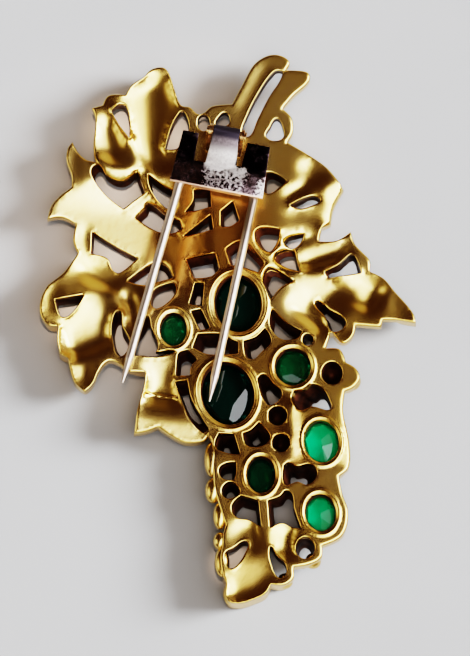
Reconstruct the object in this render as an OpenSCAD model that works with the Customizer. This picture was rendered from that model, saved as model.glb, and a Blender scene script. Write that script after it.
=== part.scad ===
// A fur clip: a pierced gilt casting of vine leaves round a bunch of grapes, with seven oval
// stones and a sprung two-prong clip on its back. It lies on its front, with its back up.
// +Y points to the stem, +X to the right as the back is seen, and z = 0 is the surface under it.

/* [Casting] */
// Size of one unit of the drawing that the outline tables are read from
unit = 0.14; // [0.135:0.001:0.145]
// Height of the flat rims of the back above the lowest point of the front
back_z = 5; // [4.8:0.1:5.1]
// Height of the underside of the leaves between their lobes
leaf_z = 2.9; // [2.7:0.1:3.1]
// Height of the underside of the grape frame between its beads
frame_z = 2.3; // [2.1:0.1:2.5]

/* [Stones] */
// Height of a stone's table above the surface it lies on
table_z = 0.35; // [0.25:0.05:0.5]
// Height of a stone's girdle
girdle_z = 2.3; // [2.2:0.05:2.4]
// Height of the ledge of the setting that the stone sits against
ledge_z = 2.9; // [2.85:0.05:3]
// Height of the keel of a stone's back
keel_z = 4.2; // [3.8:0.1:4.4]
// Clearance round a stone in its setting
stone_gap = 0.14; // [0.1:0.01:0.18]

/* [Clip] */
// Height of the clip's hinge axis
axis_z = 7.6; // [7.5:0.05:7.8]
// Thickness of the clip's sheet metal
sheet_t = 0.5; // [0.4:0.05:0.5]
// Outer radius of the rolled barrel at the end of the tongue
barrel_r = 0.95; // [0.9:0.05:1]
// Radius of the hinge pin
pin_r = 0.4; // [0.35:0.05:0.4]
// Radius of the prongs' wire
wire_r = 0.6; // [0.55:0.05:0.6]
// Radius of the bends between the cross bar and the prongs
bend_r = 1.5; // [1.4:0.1:1.6]
// Length of each prong past its bend, with its point
prong_len = 29; // [26:0.5:30]
// Length of each prong's tapered point
point_len = 3.6; // [3:0.2:5]
// Angle that the prongs lean towards the casting
prong_dip = 1.8; // [1.5:0.1:1.9]
// Running clearance between the clip's pieces
play = 0.1; // [0.08:0.01:0.12]

/* [Hidden] */
eps = 0.02;
overlap = 0.35;
facet_turn = 7.3;
girdle_lip = 0.3;

// The drawing's middle, and how far its view leans from straight above
sheet_mid = [227.8, 327.5];
view_lean = 11;

// Outlines: [x, y, corner], in units to the right and down, and 1 marks a sharp corner
LEAF_A = [[163, 66, 0], [169, 72, 0], [175, 90, 0], [181, 104, 0], [190, 106, 0], [198, 113, 0],
          [205, 111, 1], [212, 105, 0], [232, 103, 1], [240, 128, 0], [250, 170, 0], [200, 200, 0],
          [172, 189, 1], [158, 181, 0], [147, 172, 1], [136, 166, 1], [133, 174, 0], [121, 180, 0],
          [107, 175, 0], [96, 163, 0], [93, 145, 0], [95, 118, 0], [91, 107, 1], [102, 104, 1],
          [107, 95, 0], [117, 93, 0], [125, 94, 1], [131, 84, 0], [143, 76, 0], [151, 68, 0]];
LEAF_B = [[72, 141, 1], [78, 152, 0], [86, 159, 0], [95, 162, 0], [105, 180, 0], [123, 206, 1],
          [140, 190, 1], [146, 193, 0], [148, 202, 1], [135, 214, 1], [165, 229, 0], [172, 240, 0],
          [160, 250, 0], [137, 255, 1], [115, 245, 0], [92, 230, 1], [91, 252, 1], [78, 252, 1],
          [73, 240, 0], [75, 223, 1], [62, 217, 0], [47, 219, 1], [51, 205, 0], [62, 193, 0],
          [71, 187, 1], [71, 175, 0], [66, 160, 0], [67, 148, 0]];
LEAF_C = [[78, 251, 1], [92, 251, 0], [107, 254, 0], [116, 268, 0], [128, 277, 0], [147, 285, 0],
          [150, 300, 0], [143, 320, 0], [131, 342, 0], [128, 358, 0], [122, 366, 1], [110, 361, 0],
          [100, 370, 0], [93, 384, 0], [85, 392, 1], [74, 381, 0], [68, 358, 1], [60, 354, 1],
          [57, 340, 0], [58, 326, 1], [48, 325, 0], [40, 313, 0], [41, 297, 0], [48, 284, 1],
          [63, 272, 0]];
RIBBON = [[128, 356, 0], [160, 356, 0], [180, 350, 1], [200, 350, 1], [212, 420, 1], [208, 436, 1],
          [203, 441, 0], [185, 442, 0], [170, 435, 0], [158, 427, 1], [147, 431, 0], [134, 433, 1],
          [137, 410, 0], [144, 385, 0], [145, 372, 1], [130, 372, 1], [122, 366, 1]];
LEAF_F = [[240, 128, 1], [262, 139, 0], [287, 141, 1], [304, 151, 0], [325, 165, 0], [337, 178, 0],
          [344, 189, 1], [334, 207, 0], [331, 223, 1], [322, 227, 1], [319, 240, 1], [300, 248, 0],
          [262, 226, 0], [245, 215, 0], [240, 190, 0]];
STEM = [[232, 103, 1], [242, 84, 0], [254, 63, 0], [268, 54, 0], [281, 54, 0], [290, 61, 0],
        [286, 69, 1], [298, 69, 0], [309, 72, 0], [309, 81, 0], [294, 95, 0], [283, 108, 1],
        [292, 117, 0], [293, 132, 0], [288, 141, 1], [262, 150, 0], [240, 140, 0], [215, 125, 0]];
LEAF_E = [[270, 262, 0], [290, 248, 0], [303, 232, 1], [319, 240, 1], [337, 240, 0], [351, 231, 1],
          [355, 243, 0], [362, 251, 0], [370, 260, 0], [370, 271, 1], [384, 278, 0], [394, 290, 1],
          [405, 302, 0], [414, 314, 0], [416, 323, 1], [398, 320, 0], [383, 320, 1], [381, 327, 1],
          [356, 325, 1], [353, 336, 0], [343, 343, 0], [333, 332, 1], [320, 336, 0], [300, 344, 0],
          [280, 340, 0], [270, 322, 0], [270, 300, 0]];
GRAPES = [[222, 262, 0], [255, 262, 0], [272, 280, 0], [275, 325, 0], [300, 331, 0], [320, 335, 1],
          [330, 333, 1], [326, 348, 1], [340, 349, 0], [346, 362, 1], [356, 368, 0], [360, 378, 0],
          [354, 387, 0], [345, 391, 1], [343, 410, 0], [349, 440, 0], [349, 466, 0], [339, 476, 1],
          [342, 492, 0], [348, 512, 0], [342, 535, 0], [322, 545, 1], [321, 557, 0], [308, 564, 0],
          [293, 566, 1], [260, 560, 0], [228, 528, 1], [217, 520, 0], [212, 505, 0], [206, 488, 0],
          [209, 474, 1], [206, 460, 0], [209, 443, 1], [203, 425, 0], [190, 400, 0], [176, 378, 0],
          [176, 352, 0], [152, 350, 0], [146, 318, 0], [150, 295, 0], [160, 282, 0], [190, 280, 0]];
LEAF_H = [[229, 521, 0], [247, 518, 0], [262, 530, 0], [283, 521, 0], [300, 530, 0], [300, 550, 0],
          [294, 566, 0], [293, 578, 0], [283, 584, 0], [271, 583, 1], [266, 592, 0], [254, 598, 0],
          [240, 602, 0], [227, 599, 0], [226, 582, 1], [217, 571, 0], [214, 558, 0], [217, 545, 0],
          [217, 533, 0]];
CROWN = [[151, 171, 1], [178, 186, 0], [262, 186, 0], [300, 215, 0], [290, 250, 0], [262, 282, 0],
         [240, 280, 0], [190, 310, 0], [160, 290, 0], [130, 284, 0], [112, 269, 1], [132, 250, 1],
         [160, 240, 0], [158, 212, 0], [143, 195, 0], [134, 167, 1]];
LEAVES = [LEAF_A, LEAF_B, LEAF_C, RIBBON, LEAF_F, STEM, LEAF_E, LEAF_H, CROWN];

// Pierced openings: [x, y, corner], from the stem down
OPENINGS = [
    [[111, 111, 0], [121, 103, 0], [126, 112, 0], [130, 141, 0]],
    [[180, 111, 0], [189, 127, 0], [181, 142, 0], [176, 148, 0], [165, 148, 1]],
    [[216, 124, 0], [220, 115, 0], [225, 112, 0], [229, 116, 0], [228, 124, 0]],
    [[274, 71, 0], [283, 72, 0], [268, 98, 0], [257, 120, 0], [250, 135, 0], [242, 134, 0],
     [246, 118, 0], [257, 95, 0]],
    [[277, 118, 0], [283, 128, 0], [283, 137, 0], [273, 140, 0], [266, 135, 0], [270, 127, 0]],
    [[97, 164, 0], [107, 176, 0], [121, 181, 0], [133, 177, 0], [137, 170, 1], [145, 190, 1],
     [135, 197, 0], [123, 206, 1], [104, 192, 0], [91, 173, 0]],
    [[148, 173, 1], [160, 182, 0], [175, 190, 1], [174, 207, 0], [160, 200, 0], [150, 186, 0]],
    [[148, 200, 0], [166, 212, 0], [180, 219, 1], [182, 226, 1], [173, 230, 0], [162, 229, 0],
     [148, 223, 0], [135, 214, 1], [143, 209, 0]],
    [[93, 231, 1], [115, 244, 0], [137, 255, 1], [120, 270, 0], [113, 268, 0], [107, 256, 0],
     [91, 252, 1]],
    [[127, 279, 1], [140, 268, 0], [155, 259, 0], [166, 262, 0], [173, 275, 1], [158, 279, 0],
     [146, 283, 0]],
    [[155, 287, 0], [174, 280, 1], [176, 289, 0], [170, 299, 0], [157, 308, 0], [151, 303, 0]],
    [[55, 298, 0], [83, 296, 0], [74, 311, 0], [62, 316, 0]],
    [[112, 323, 0], [119, 310, 0], [122, 325, 0], [130, 342, 0], [127, 351, 0], [119, 356, 0],
     [113, 340, 0]],
    [[147, 316, 0], [151, 327, 0], [158, 347, 0], [149, 356, 0], [140, 352, 0], [142, 333, 0]],
    [[194, 189, 1], [210, 189, 1], [211, 206, 1], [198, 209, 0], [185, 210, 1], [193, 200, 0]],
    [[211, 214, 1], [213, 229, 1], [199, 232, 0], [183, 234, 1]],
    [[221, 211, 1], [233, 201, 1], [239, 220, 1], [230, 226, 0], [221, 226, 1]],
    [[267, 172, 0], [287, 181, 1], [279, 187, 0], [270, 193, 0], [263, 190, 0]],
    [[290, 205, 1], [305, 198, 0], [315, 196, 0], [320, 200, 0], [312, 205, 0], [300, 208, 0]],
    [[255, 233, 0], [262, 227, 0], [280, 229, 1], [277, 240, 0], [268, 250, 0]],
    [[285, 241, 1], [290, 236, 0], [304, 233, 1], [300, 242, 0], [292, 247, 0]],
    [[275, 257, 0], [283, 250, 0], [294, 249, 1], [300, 271, 1], [288, 266, 0]],
    [[263, 279, 0], [271, 268, 0], [294, 281, 1], [281, 287, 0], [271, 299, 1], [267, 290, 0]],
    [[226, 249, 1], [240, 241, 0], [250, 248, 0], [263, 262, 1], [258, 271, 1], [246, 267, 0],
     [231, 265, 1]],
    [[325, 271, 1], [338, 265, 0], [346, 258, 0], [352, 254, 0], [358, 262, 0], [361, 272, 1],
     [345, 275, 0], [328, 277, 1]],
    [[316, 300, 0], [330, 309, 0], [345, 321, 0], [334, 327, 0], [325, 315, 0]],
    [[272, 308, 1], [280, 316, 0], [290, 325, 0], [302, 331, 1], [297, 338, 0], [280, 338, 0],
     [270, 324, 0]],
    [[186, 257, 1], [215, 253, 1], [219, 268, 1], [211, 276, 0], [194, 277, 1]],
    [[195, 282, 1], [204, 283, 1], [202, 306, 1], [189, 304, 1]],
    [[191, 311, 1], [201, 309, 1], [210, 328, 1], [200, 330, 1]],
    [[179, 353, 0], [188, 350, 1], [197, 359, 1], [191, 366, 0], [190, 375, 1], [176, 375, 1],
     [177, 362, 0]],
    [[175, 381, 1], [187, 380, 1], [190, 395, 0], [197, 410, 0], [209, 429, 1], [203, 432, 0],
     [189, 418, 0], [182, 400, 0]],
    [[198, 334, 1], [222, 334, 0], [230, 339, 0], [238, 342, 1], [238, 353, 1], [208, 354, 0],
     [193, 347, 1]],
    [[265, 328, 1], [271, 341, 0], [261, 352, 0], [253, 359, 0], [246, 356, 0], [244, 341, 1],
     [256, 337, 0]],
    [[258, 380, 0], [264, 374, 0], [274, 384, 0], [281, 390, 0], [281, 397, 0], [275, 403, 0],
     [267, 404, 0]],
    [[292, 400, 0], [295, 391, 0], [303, 390, 0], [312, 384, 0], [322, 388, 0], [328, 397, 0],
     [330, 409, 0], [312, 406, 0], [300, 410, 0]],
    [[243, 433, 1], [251, 430, 0], [259, 422, 1], [266, 429, 0], [270, 438, 0], [261, 446, 0],
     [247, 445, 0]],
    [[219, 433, 1], [234, 434, 1], [240, 454, 1], [225, 452, 0], [215, 446, 0]],
    [[219, 469, 0], [226, 463, 0], [236, 462, 1], [236, 472, 0], [234, 479, 1], [223, 478, 0]],
    [[222, 489, 0], [228, 482, 0], [235, 483, 0], [240, 492, 0], [233, 497, 0], [225, 497, 0]],
    [[284, 465, 1], [289, 462, 0], [297, 466, 0], [310, 464, 0], [317, 473, 0], [308, 484, 0],
     [297, 481, 0], [285, 484, 0]],
    [[232, 505, 0], [241, 495, 1], [258, 500, 1], [261, 526, 1], [249, 519, 0], [236, 516, 0]],
    [[268, 500, 1], [280, 496, 0], [286, 490, 0], [292, 494, 0], [294, 508, 0], [301, 528, 1],
     [292, 526, 0], [281, 522, 0], [270, 527, 1]],
    [[225, 553, 0], [234, 547, 0], [247, 540, 0], [245, 552, 0], [235, 566, 0], [228, 566, 0]],
    [[270, 546, 0], [277, 555, 0], [285, 563, 0], [286, 572, 0], [280, 577, 0], [273, 568, 0]],
];

// Round openings and hollow beads: [x, y, half width, half height, 1 for a closed bead]
BEADS = [[203.5, 122, 6, 8.5, 0], [308, 339.5, 5.5, 6, 0], [332, 373, 10.5, 11.5, 1],
         [277.5, 415.5, 9.5, 9.5, 1], [281, 442.5, 9, 9, 1], [305, 547, 9.5, 11, 0]];

// Lobes, hollow behind and domed in front: [x, y, radius, x, y, radius at the far end, depth, height]
LOBES = [
    [157, 80, 13, 152, 140, 22, 1.9, 2.9], [109, 132, 10, 115, 156, 13, 1.5, 2.3],
    [98, 190, 12, 112, 222, 16, 1.1, 1.8], [114, 225, 15, 150, 240, 13, 1.0, 1.8],
    [66, 205, 7, 84, 196, 10, 0.8, 1.2],
    [86, 272, 15, 78, 300, 17, 1.0, 2.0], [88, 290, 14, 96, 330, 20, 1.2, 2.9],
    [128, 292, 10, 127, 318, 9, 1.6, 2.4], [74, 354, 8, 106, 349, 9, 1.5, 2.2],
    [80, 364, 9, 86, 378, 5, 0.9, 1.6],
    [145, 368, 9, 166, 374, 10, 0.8, 1.4], [150, 407, 8, 175, 410, 9, 1.4, 2.0],
    [292, 158, 9, 318, 178, 12, 1.3, 2.2], [262, 208, 9, 312, 220, 10, 1.2, 1.7],
    [262, 72, 7, 246, 104, 8, 0.9, 1.6], [298, 80, 7, 274, 108, 8, 0.9, 1.6],
    [305, 255, 9, 342, 249, 9, 1.4, 2.2], [338, 288, 11, 372, 292, 17, 1.9, 2.9],
    [388, 300, 10, 404, 313, 4, 1.0, 1.5], [284, 302, 13, 318, 319, 11, 1.7, 2.4],
    [341, 330, 7, 344, 334, 5, 0.9, 1.4],
    [238, 530, 10, 250, 566, 14, 1.4, 2.2], [246, 566, 12, 243, 590, 11, 1.2, 2.9],
    [279, 534, 10, 290, 552, 8, 1.4, 2.0]];

// Gold bead grapes of the front: [x, y, radius]
FRONT_BEADS = [[332, 373, 17], [278, 416, 15], [281, 443, 13], [305, 547, 14], [250, 440, 15],
               [226, 444, 13], [228, 472, 12], [300, 473, 13], [248, 509, 13],
               [283, 510, 12], [270, 391, 12], [312, 397, 13], [258, 346, 14], [216, 344, 14],
               [340, 455, 9], [196, 292, 10], [201, 320, 10]];

// Stones: [x, y, half width and half height seen through the setting, the setting's mouth, turn]
STONES = [[173.5, 329, 12.5, 15.5, 16, 19.5, 0], [238, 303, 22, 27.5, 24.5, 30.5, 4],
          [293, 366.5, 16.5, 17, 20.5, 21.5, 0], [227.5, 393, 25, 31, 28, 33, 14],
          [321.5, 441, 16.5, 20.5, 19.5, 24, 8], [261, 474, 13.5, 17.5, 15.8, 20, 0],
          [320.5, 512, 14, 17, 17.5, 22.5, 8]];

// Places a point of the drawing in the part's own frame
function place(p) = [(p[0] - sheet_mid[0]) * unit, (sheet_mid[1] - p[1]) * unit / cos(view_lean)];

// A smooth closed curve through the points of a table, straight into its sharp corners
function corner(p) = len(p) > 2 && p[2] == 1;
function way(a, b) = (b - a) / max(norm(b - a), eps);
function tangent(t, i, n) = corner(t[i % n]) ? [0, 0] : way(place(t[(i + n - 1) % n]), place(t[(i + 1) % n]));
function hermite(p, q, u, v, s) = (2 * s ^ 3 - 3 * s ^ 2 + 1) * p + (3 * s ^ 2 - 2 * s ^ 3) * q
                                + (s ^ 3 - 2 * s ^ 2 + s) * u + (s ^ 3 - s ^ 2) * v;
function smooth(t, steps) = let (n = len(t)) [
    for (i = [0:n - 1])
        let (p = place(t[i]), q = place(t[(i + 1) % n]), d = norm(q - p))
            for (k = [0:steps - 1]) hermite(p, q, tangent(t, i, n) * d, tangent(t, i + 1, n) * d, k / steps)];

module oval(at, half_w, half_h, turn = 0, sides = 16) {
    translate(place(at)) rotate(turn) scale([half_w, half_h]) circle(1, $fn = sides);
}

// A solid between two ovals at two heights
module oval_cone(row, low_z, high_z, low_grow, high_grow) {
    half_w = row[2] * unit;
    half_h = row[3] * unit;
    hull() {
        translate([0, 0, low_z]) linear_extrude(eps)
            oval(row, half_w + low_grow, half_h + low_grow, row[6]);
        translate([0, 0, high_z - eps]) linear_extrude(eps)
            oval(row, half_w + high_grow, half_h + high_grow, row[6]);
    }
}

// A flattened ball at each end of a lobe, joined
module lobe(row, z, height, grow, sides = 10) {
    hull() for (end = [[row[0], row[1], row[2]], [row[3], row[4], row[5]]]) {
        r = end[2] * unit + grow;
        translate([place(end)[0], place(end)[1], z]) rotate(facet_turn)
            scale([r, r, height / cos(180 / sides)]) sphere(1, $fn = sides);
    }
}

module bead(row, z, height, sides) {
    r = row[2] * unit;
    translate([place(row)[0], place(row)[1], z]) rotate(facet_turn)
        scale([r, r, height / cos(180 / sides)]) sphere(1, $fn = sides);
}

module outline() {
    for (leaf = LEAVES) polygon(smooth(leaf, 2));
    polygon(smooth(GRAPES, 2));
}

module front() {
    intersection() {
        linear_extrude(back_z) outline();
        union() {
            for (row = LOBES) lobe(row, leaf_z + overlap, row[7] + overlap, 0.5, 8);
            for (bead = FRONT_BEADS) bead(bead, frame_z + 0.6, frame_z, 8);
        }
    }
    for (stone = STONES) oval_cone(stone, 0.5, leaf_z + overlap, 0.5, 1);
}

module openings() {
    for (hole = OPENINGS) translate([0, 0, -1]) linear_extrude(back_z + 2) polygon(smooth(hole, 2));
    for (bead = BEADS) {
        if (bead[4] == 0) translate([0, 0, -1]) linear_extrude(back_z + 2)
            oval(bead, bead[2] * unit, bead[3] * unit);
        else bead(bead, back_z, 3.2, 10);
    }
}

// The mouth, ledge and seat of one setting
module setting(stone) {
    mouth = (stone[4] - stone[2]) * unit;
    oval_cone(stone, ledge_z + 0.4, back_z + overlap, 0, mouth);
    oval_cone(stone, ledge_z - overlap, ledge_z + 0.6, 0, 0);
    hull() {
        oval_cone(stone, -overlap, 0, -0.1, 0);
        oval_cone(stone, girdle_z - 0.3, ledge_z, girdle_lip + stone_gap, girdle_lip + stone_gap);
    }
}

module casting() {
    color("goldenrod") difference() {
        union() {
            translate([0, 0, leaf_z]) linear_extrude(back_z - leaf_z) outline();
            translate([0, 0, frame_z]) linear_extrude(leaf_z - frame_z + overlap)
                offset(delta = -0.1) polygon(smooth(GRAPES, 2));
            front();
        }
        for (row = LOBES) lobe(row, back_z + 0.1, row[6] + 0.1, -0.15);
        openings();
        for (stone = STONES) setting(stone);
    }
}

// One cut stone: its table down, rings of facets up to the keel of its back
function ring(stone, grow, z, turn_step, sides) = [
    for (k = [0:sides - 1])
        let (a = (k + turn_step) * 360 / sides, t = stone[6], c = place(stone),
             half_w = stone[2] * unit + girdle_lip, half_h = stone[3] * unit + girdle_lip,
             p = [half_w * grow * cos(a), half_h * grow * sin(a)])
            [c[0] + p[0] * cos(t) - p[1] * sin(t), c[1] + p[0] * sin(t) + p[1] * cos(t), z]];

module cut_stone(stone) {
    sides = 16;
    rings = [[0.6, table_z, 0], [0.84, table_z + 0.9, 0.5], [1, girdle_z - 0.1, 0], [1, girdle_z + 0.15, 0],
             [0.62, keel_z - 0.75, 0.5], [0.16, keel_z, 0]];
    points = [for (r = rings) each ring(stone, r[0], r[1], r[2], sides)];
    last = (len(rings) - 1) * sides;
    sides_up = [
        for (i = [0:len(rings) - 2], k = [0:sides - 1])
            let (shift = rings[i][2] > rings[i + 1][2] ? 1 : 0,
                 a = i * sides + k, b = i * sides + (k + 1) % sides,
                 c = (i + 1) * sides + (k + shift) % sides, d = (i + 1) * sides + (k + shift + 1) % sides)
                each [[a, c, b], [b, c, d]]];
    polyhedron(points, concat([[for (k = [0:sides - 1]) k]], sides_up,
                              [[for (k = [sides - 1:-1:0]) last + k]]), convexity = 2);
}

module stone(number) {
    pale = number == 5 || number == 7;
    color(pale ? "mediumseagreen" : "darkgreen") cut_stone(STONES[number - 1]);
}
module stone_1() { stone(1); }
module stone_2() { stone(2); }
module stone_3() { stone(3); }
module stone_4() { stone(4); }
module stone_5() { stone(5); }
module stone_6() { stone(6); }
module stone_7() { stone(7); }

// The clip's own frame: x along the plate, y up the plate from its lower edge
clip_at = [-1.64, 19];
clip_turn = -11.5;
axis_y = 8.35;
tongue = [-2.07, 1.66];
ear_t = 0.45;
ear_gap = 0.18;
foot_y = [5.8, 9.4];
foot_z = back_z + play;
foot_t = 0.5;
sheet_z = axis_z + barrel_r - sheet_t;
bar_z = sheet_z - play - wire_r;
lip_t = 0.4;
bar_y = lip_t + play + wire_r;
half_bar_left = 3.8;
half_bar_right = 3.88;
splay_left = 4.2;
splay_right = -0.7;
bend_swell = 0.02;
bend_lap = 0.15;
round_n = 48;

module in_clip_frame() {
    translate([clip_at[0], clip_at[1], 0]) rotate(clip_turn) children();
}

module along_x(from, to, y, z, r) {
    translate([from, y, z]) rotate([0, 90, 0]) cylinder(h = to - from, r = r, $fn = round_n);
}

module ear(from) {
    difference() {
        union() {
            along_x(from, from + ear_t, axis_y, axis_z, barrel_r);
            translate([from, axis_y - barrel_r, foot_z]) cube([ear_t, 2 * barrel_r, axis_z - foot_z]);
        }
        along_x(from - 1, from + ear_t + 1, axis_y, axis_z, pin_r + play);
    }
}

module hinge_base() {
    left = tongue[0] - ear_gap - ear_t;
    right = tongue[1] + ear_gap;
    color("silver") in_clip_frame() {
        translate([left, foot_y[0], foot_z]) cube([right + ear_t - left, foot_y[1] - foot_y[0], foot_t]);
        ear(left);
        ear(right);
    }
}

module hinge_pin() {
    head_r = pin_r + 0.25;
    head_t = 0.2;
    left = tongue[0] - ear_gap - ear_t - play;
    right = tongue[1] + ear_gap + ear_t + play;
    color("gainsboro") in_clip_frame() {
        along_x(left, right, axis_y, axis_z, pin_r);
        along_x(left - head_t, left, axis_y, axis_z, head_r);
        along_x(right, right + head_t, axis_y, axis_z, head_r);
    }
}

// The sheet seen from above: [x, y], a band with two wings and the tongue between them
SHEET = [[-6.64, 0], [6.64, 0], [6.2, 7.43], [2.96, 7.43], [2.85, 3.9], [2.13, 3.9], [1.66, 7.4],
         [1.66, axis_y], [-2.07, axis_y], [-2.07, 7.4], [-2.26, 3.5], [-3.9, 3.5], [-3.99, 7.43],
         [-6.2, 7.43]];

module clip_plate() {
    lip_x = 3.5;
    color("silver") in_clip_frame() difference() {
        union() {
            translate([0, 0, sheet_z]) linear_extrude(sheet_t) polygon(SHEET);
            along_x(tongue[0], tongue[1], axis_y, axis_z, barrel_r);
            translate([-lip_x, 0, bar_z - wire_r]) cube([2 * lip_x, lip_t, sheet_z + eps - bar_z + wire_r]);
            translate([-lip_x, bar_y + wire_r + play, bar_z - wire_r])
                cube([2 * lip_x, lip_t, sheet_z + eps - bar_z + wire_r]);
        }
        along_x(tongue[0] - 1, tongue[1] + 1, axis_y, axis_z, pin_r + play);
    }
}

// One bend and prong of the fork, drawn for the right side; the bend is a hair thicker than the wire
module prong(half_bar, splay) {
    translate([half_bar, -bend_r, 0]) rotate(splay) rotate_extrude(angle = 90 - splay, $fn = round_n)
        translate([bend_r, 0]) circle(wire_r + bend_swell, $fn = round_n);
    straight = prong_len - point_len;
    translate([half_bar + bend_r * cos(splay), bend_r * (sin(splay) - 1), 0]) rotate([90, 0, splay]) {
        translate([0, 0, -bend_lap]) cylinder(h = straight + bend_lap, r = wire_r, $fn = round_n);
        translate([0, 0, straight]) cylinder(h = point_len, r1 = wire_r, r2 = 0.12, $fn = round_n);
    }
}

module prong_fork() {
    color("gainsboro") in_clip_frame() translate([0, bar_y, bar_z]) rotate([prong_dip, 0, 0]) {
        along_x(-half_bar_left - bend_lap, half_bar_right + bend_lap, 0, 0, wire_r);
        prong(half_bar_right, splay_right);
        mirror([1, 0, 0]) prong(half_bar_left, splay_left);
    }
}

casting();
stone_1();
stone_2();
stone_3();
stone_4();
stone_5();
stone_6();
stone_7();
hinge_base();
hinge_pin();
clip_plate();
prong_fork();
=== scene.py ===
"""The looks of the fur clip: a worked casting, cut stones, the clip's plate and prongs, and the studio.

Lengths are in millimetres until each mesh is made, and the meshes are in metres.
"""

import math

import bmesh
import bpy
import numpy as np
from mathutils import Matrix, Vector, kdtree
from mathutils.geometry import delaunay_2d_cdt


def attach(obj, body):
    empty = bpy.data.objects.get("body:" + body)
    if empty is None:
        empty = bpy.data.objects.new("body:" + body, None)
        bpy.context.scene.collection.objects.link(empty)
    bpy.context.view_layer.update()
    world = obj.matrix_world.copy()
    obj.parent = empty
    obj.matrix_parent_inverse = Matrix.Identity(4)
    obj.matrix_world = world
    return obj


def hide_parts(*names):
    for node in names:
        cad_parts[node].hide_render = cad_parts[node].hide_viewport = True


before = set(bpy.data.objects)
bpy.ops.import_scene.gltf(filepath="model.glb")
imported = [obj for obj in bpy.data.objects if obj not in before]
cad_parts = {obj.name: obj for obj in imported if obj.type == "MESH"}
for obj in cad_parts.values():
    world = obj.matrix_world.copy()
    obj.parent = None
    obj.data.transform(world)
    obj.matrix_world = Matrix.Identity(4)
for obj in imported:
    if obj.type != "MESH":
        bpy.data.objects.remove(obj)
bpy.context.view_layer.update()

MM = 0.001
# The drawing: its unit in mm, its middle, and the camera's lean back from straight above
UNIT = 0.14
SHEET_MID = (227.8, 327.5)
LEAN = math.radians(11)
# Heights in mm: the back, the leaves' and the frame's front, a setting's ledge, and a stone's parts
BACK_Z = 5.0
LEAF_Z = 2.9
FRAME_Z = 2.3
LEDGE_Z = 2.9
GIRDLE_Z = 2.3
TABLE_Z = 0.35
KEEL_Z = 4.2
# Distance between the casting's points in mm: along its edges, and inside the back and the front,
# where they also keep clear of the edges
SPACING = 0.24
GRID, GRID_CLEAR = 0.27, 0.5
COARSE, COARSE_CLEAR = 0.5, 0.45
# Points of a curve between two of its table, round the outlines and the openings
STEPS = 6
HOLE_STEPS = 5

# Outlines in units of the drawing, to the right and down: (x, y), or (x, y, 1) at a sharp corner
LEAF_A = [(163, 66), (169, 72), (175, 90), (181, 104), (190, 106), (198, 113), (205, 111, 1), (212, 105),
          (232, 103, 1), (240, 128), (250, 170), (200, 200), (172, 189, 1), (158, 181), (147, 172, 1),
          (136, 166, 1), (133, 174), (121, 180), (107, 175), (96, 163), (93, 145), (95, 118),
          (91, 107, 1), (102, 104, 1), (107, 95), (117, 93), (125, 94, 1), (131, 84), (143, 76),
          (151, 68)]
LEAF_B = [(72, 141, 1), (78, 152), (86, 159), (95, 162), (105, 180), (123, 206, 1), (140, 190, 1),
          (146, 193), (148, 202, 1), (135, 214, 1), (165, 229), (172, 240), (160, 250), (137, 255, 1),
          (115, 245), (92, 230, 1), (91, 252, 1), (78, 252, 1), (73, 240), (75, 223, 1), (62, 217),
          (47, 219, 1), (51, 205), (62, 193), (71, 187, 1), (71, 175), (66, 160), (67, 148)]
LEAF_C = [(78, 251, 1), (92, 251), (107, 254), (116, 268), (128, 277), (147, 285), (150, 300), (143, 320),
          (131, 342), (128, 358), (122, 366, 1), (110, 361), (100, 370), (93, 384), (85, 392, 1),
          (74, 381), (68, 358, 1), (60, 354, 1), (57, 340), (58, 326, 1), (48, 325), (40, 313), (41, 297),
          (48, 284, 1), (63, 272)]
RIBBON = [(128, 356), (160, 356), (180, 350, 1), (200, 350, 1), (212, 420, 1), (208, 436, 1), (203, 441),
          (185, 442), (170, 435), (158, 427, 1), (147, 431), (134, 433, 1), (137, 410), (144, 385),
          (145, 372, 1), (130, 372, 1), (122, 366, 1)]
LEAF_F = [(240, 128, 1), (262, 139), (287, 141, 1), (304, 151), (325, 165), (337, 178), (344, 189, 1),
          (334, 207), (331, 223, 1), (322, 227, 1), (319, 240, 1), (300, 248), (262, 226), (245, 215),
          (240, 190)]
STEM = [(232, 103, 1), (242, 84), (254, 63), (268, 54), (281, 54), (290, 61), (286, 69, 1), (298, 69),
        (309, 72), (309, 81), (294, 95), (283, 108, 1), (292, 117), (293, 132), (288, 141, 1), (262, 150),
        (240, 140), (215, 125)]
LEAF_E = [(270, 262), (290, 248), (303, 232, 1), (319, 240, 1), (337, 240), (351, 231, 1), (355, 243),
          (362, 251), (370, 260), (370, 271, 1), (384, 278), (394, 290, 1), (405, 302), (414, 314),
          (416, 323, 1), (398, 320), (383, 320, 1), (381, 327, 1), (356, 325, 1), (353, 336), (343, 343),
          (333, 332, 1), (320, 336), (300, 344), (280, 340), (270, 322), (270, 300)]
GRAPES = [(222, 262), (255, 262), (272, 280), (275, 325), (300, 331), (320, 335, 1), (330, 333, 1),
          (326, 348, 1), (340, 349), (346, 362, 1), (356, 368), (360, 378), (354, 387), (345, 391, 1),
          (343, 410), (349, 440), (349, 466), (339, 476, 1), (342, 492), (348, 512), (342, 535),
          (322, 545, 1), (321, 557), (308, 564), (293, 566, 1), (260, 560), (228, 528, 1), (224, 520),
          (219, 505), (214, 488), (213, 474, 1), (212, 460), (212, 443, 1), (203, 425), (190, 400),
          (176, 378), (176, 352), (152, 350), (146, 318), (150, 295), (160, 282), (190, 280)]
LEAF_H = [(229, 521), (247, 518), (262, 530), (283, 521), (300, 530), (300, 550), (294, 566), (293, 578),
          (283, 584), (271, 583, 1), (266, 592), (254, 598), (240, 602), (227, 599), (226, 582, 1),
          (222, 571), (220, 558), (222, 545), (223, 533)]
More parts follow.
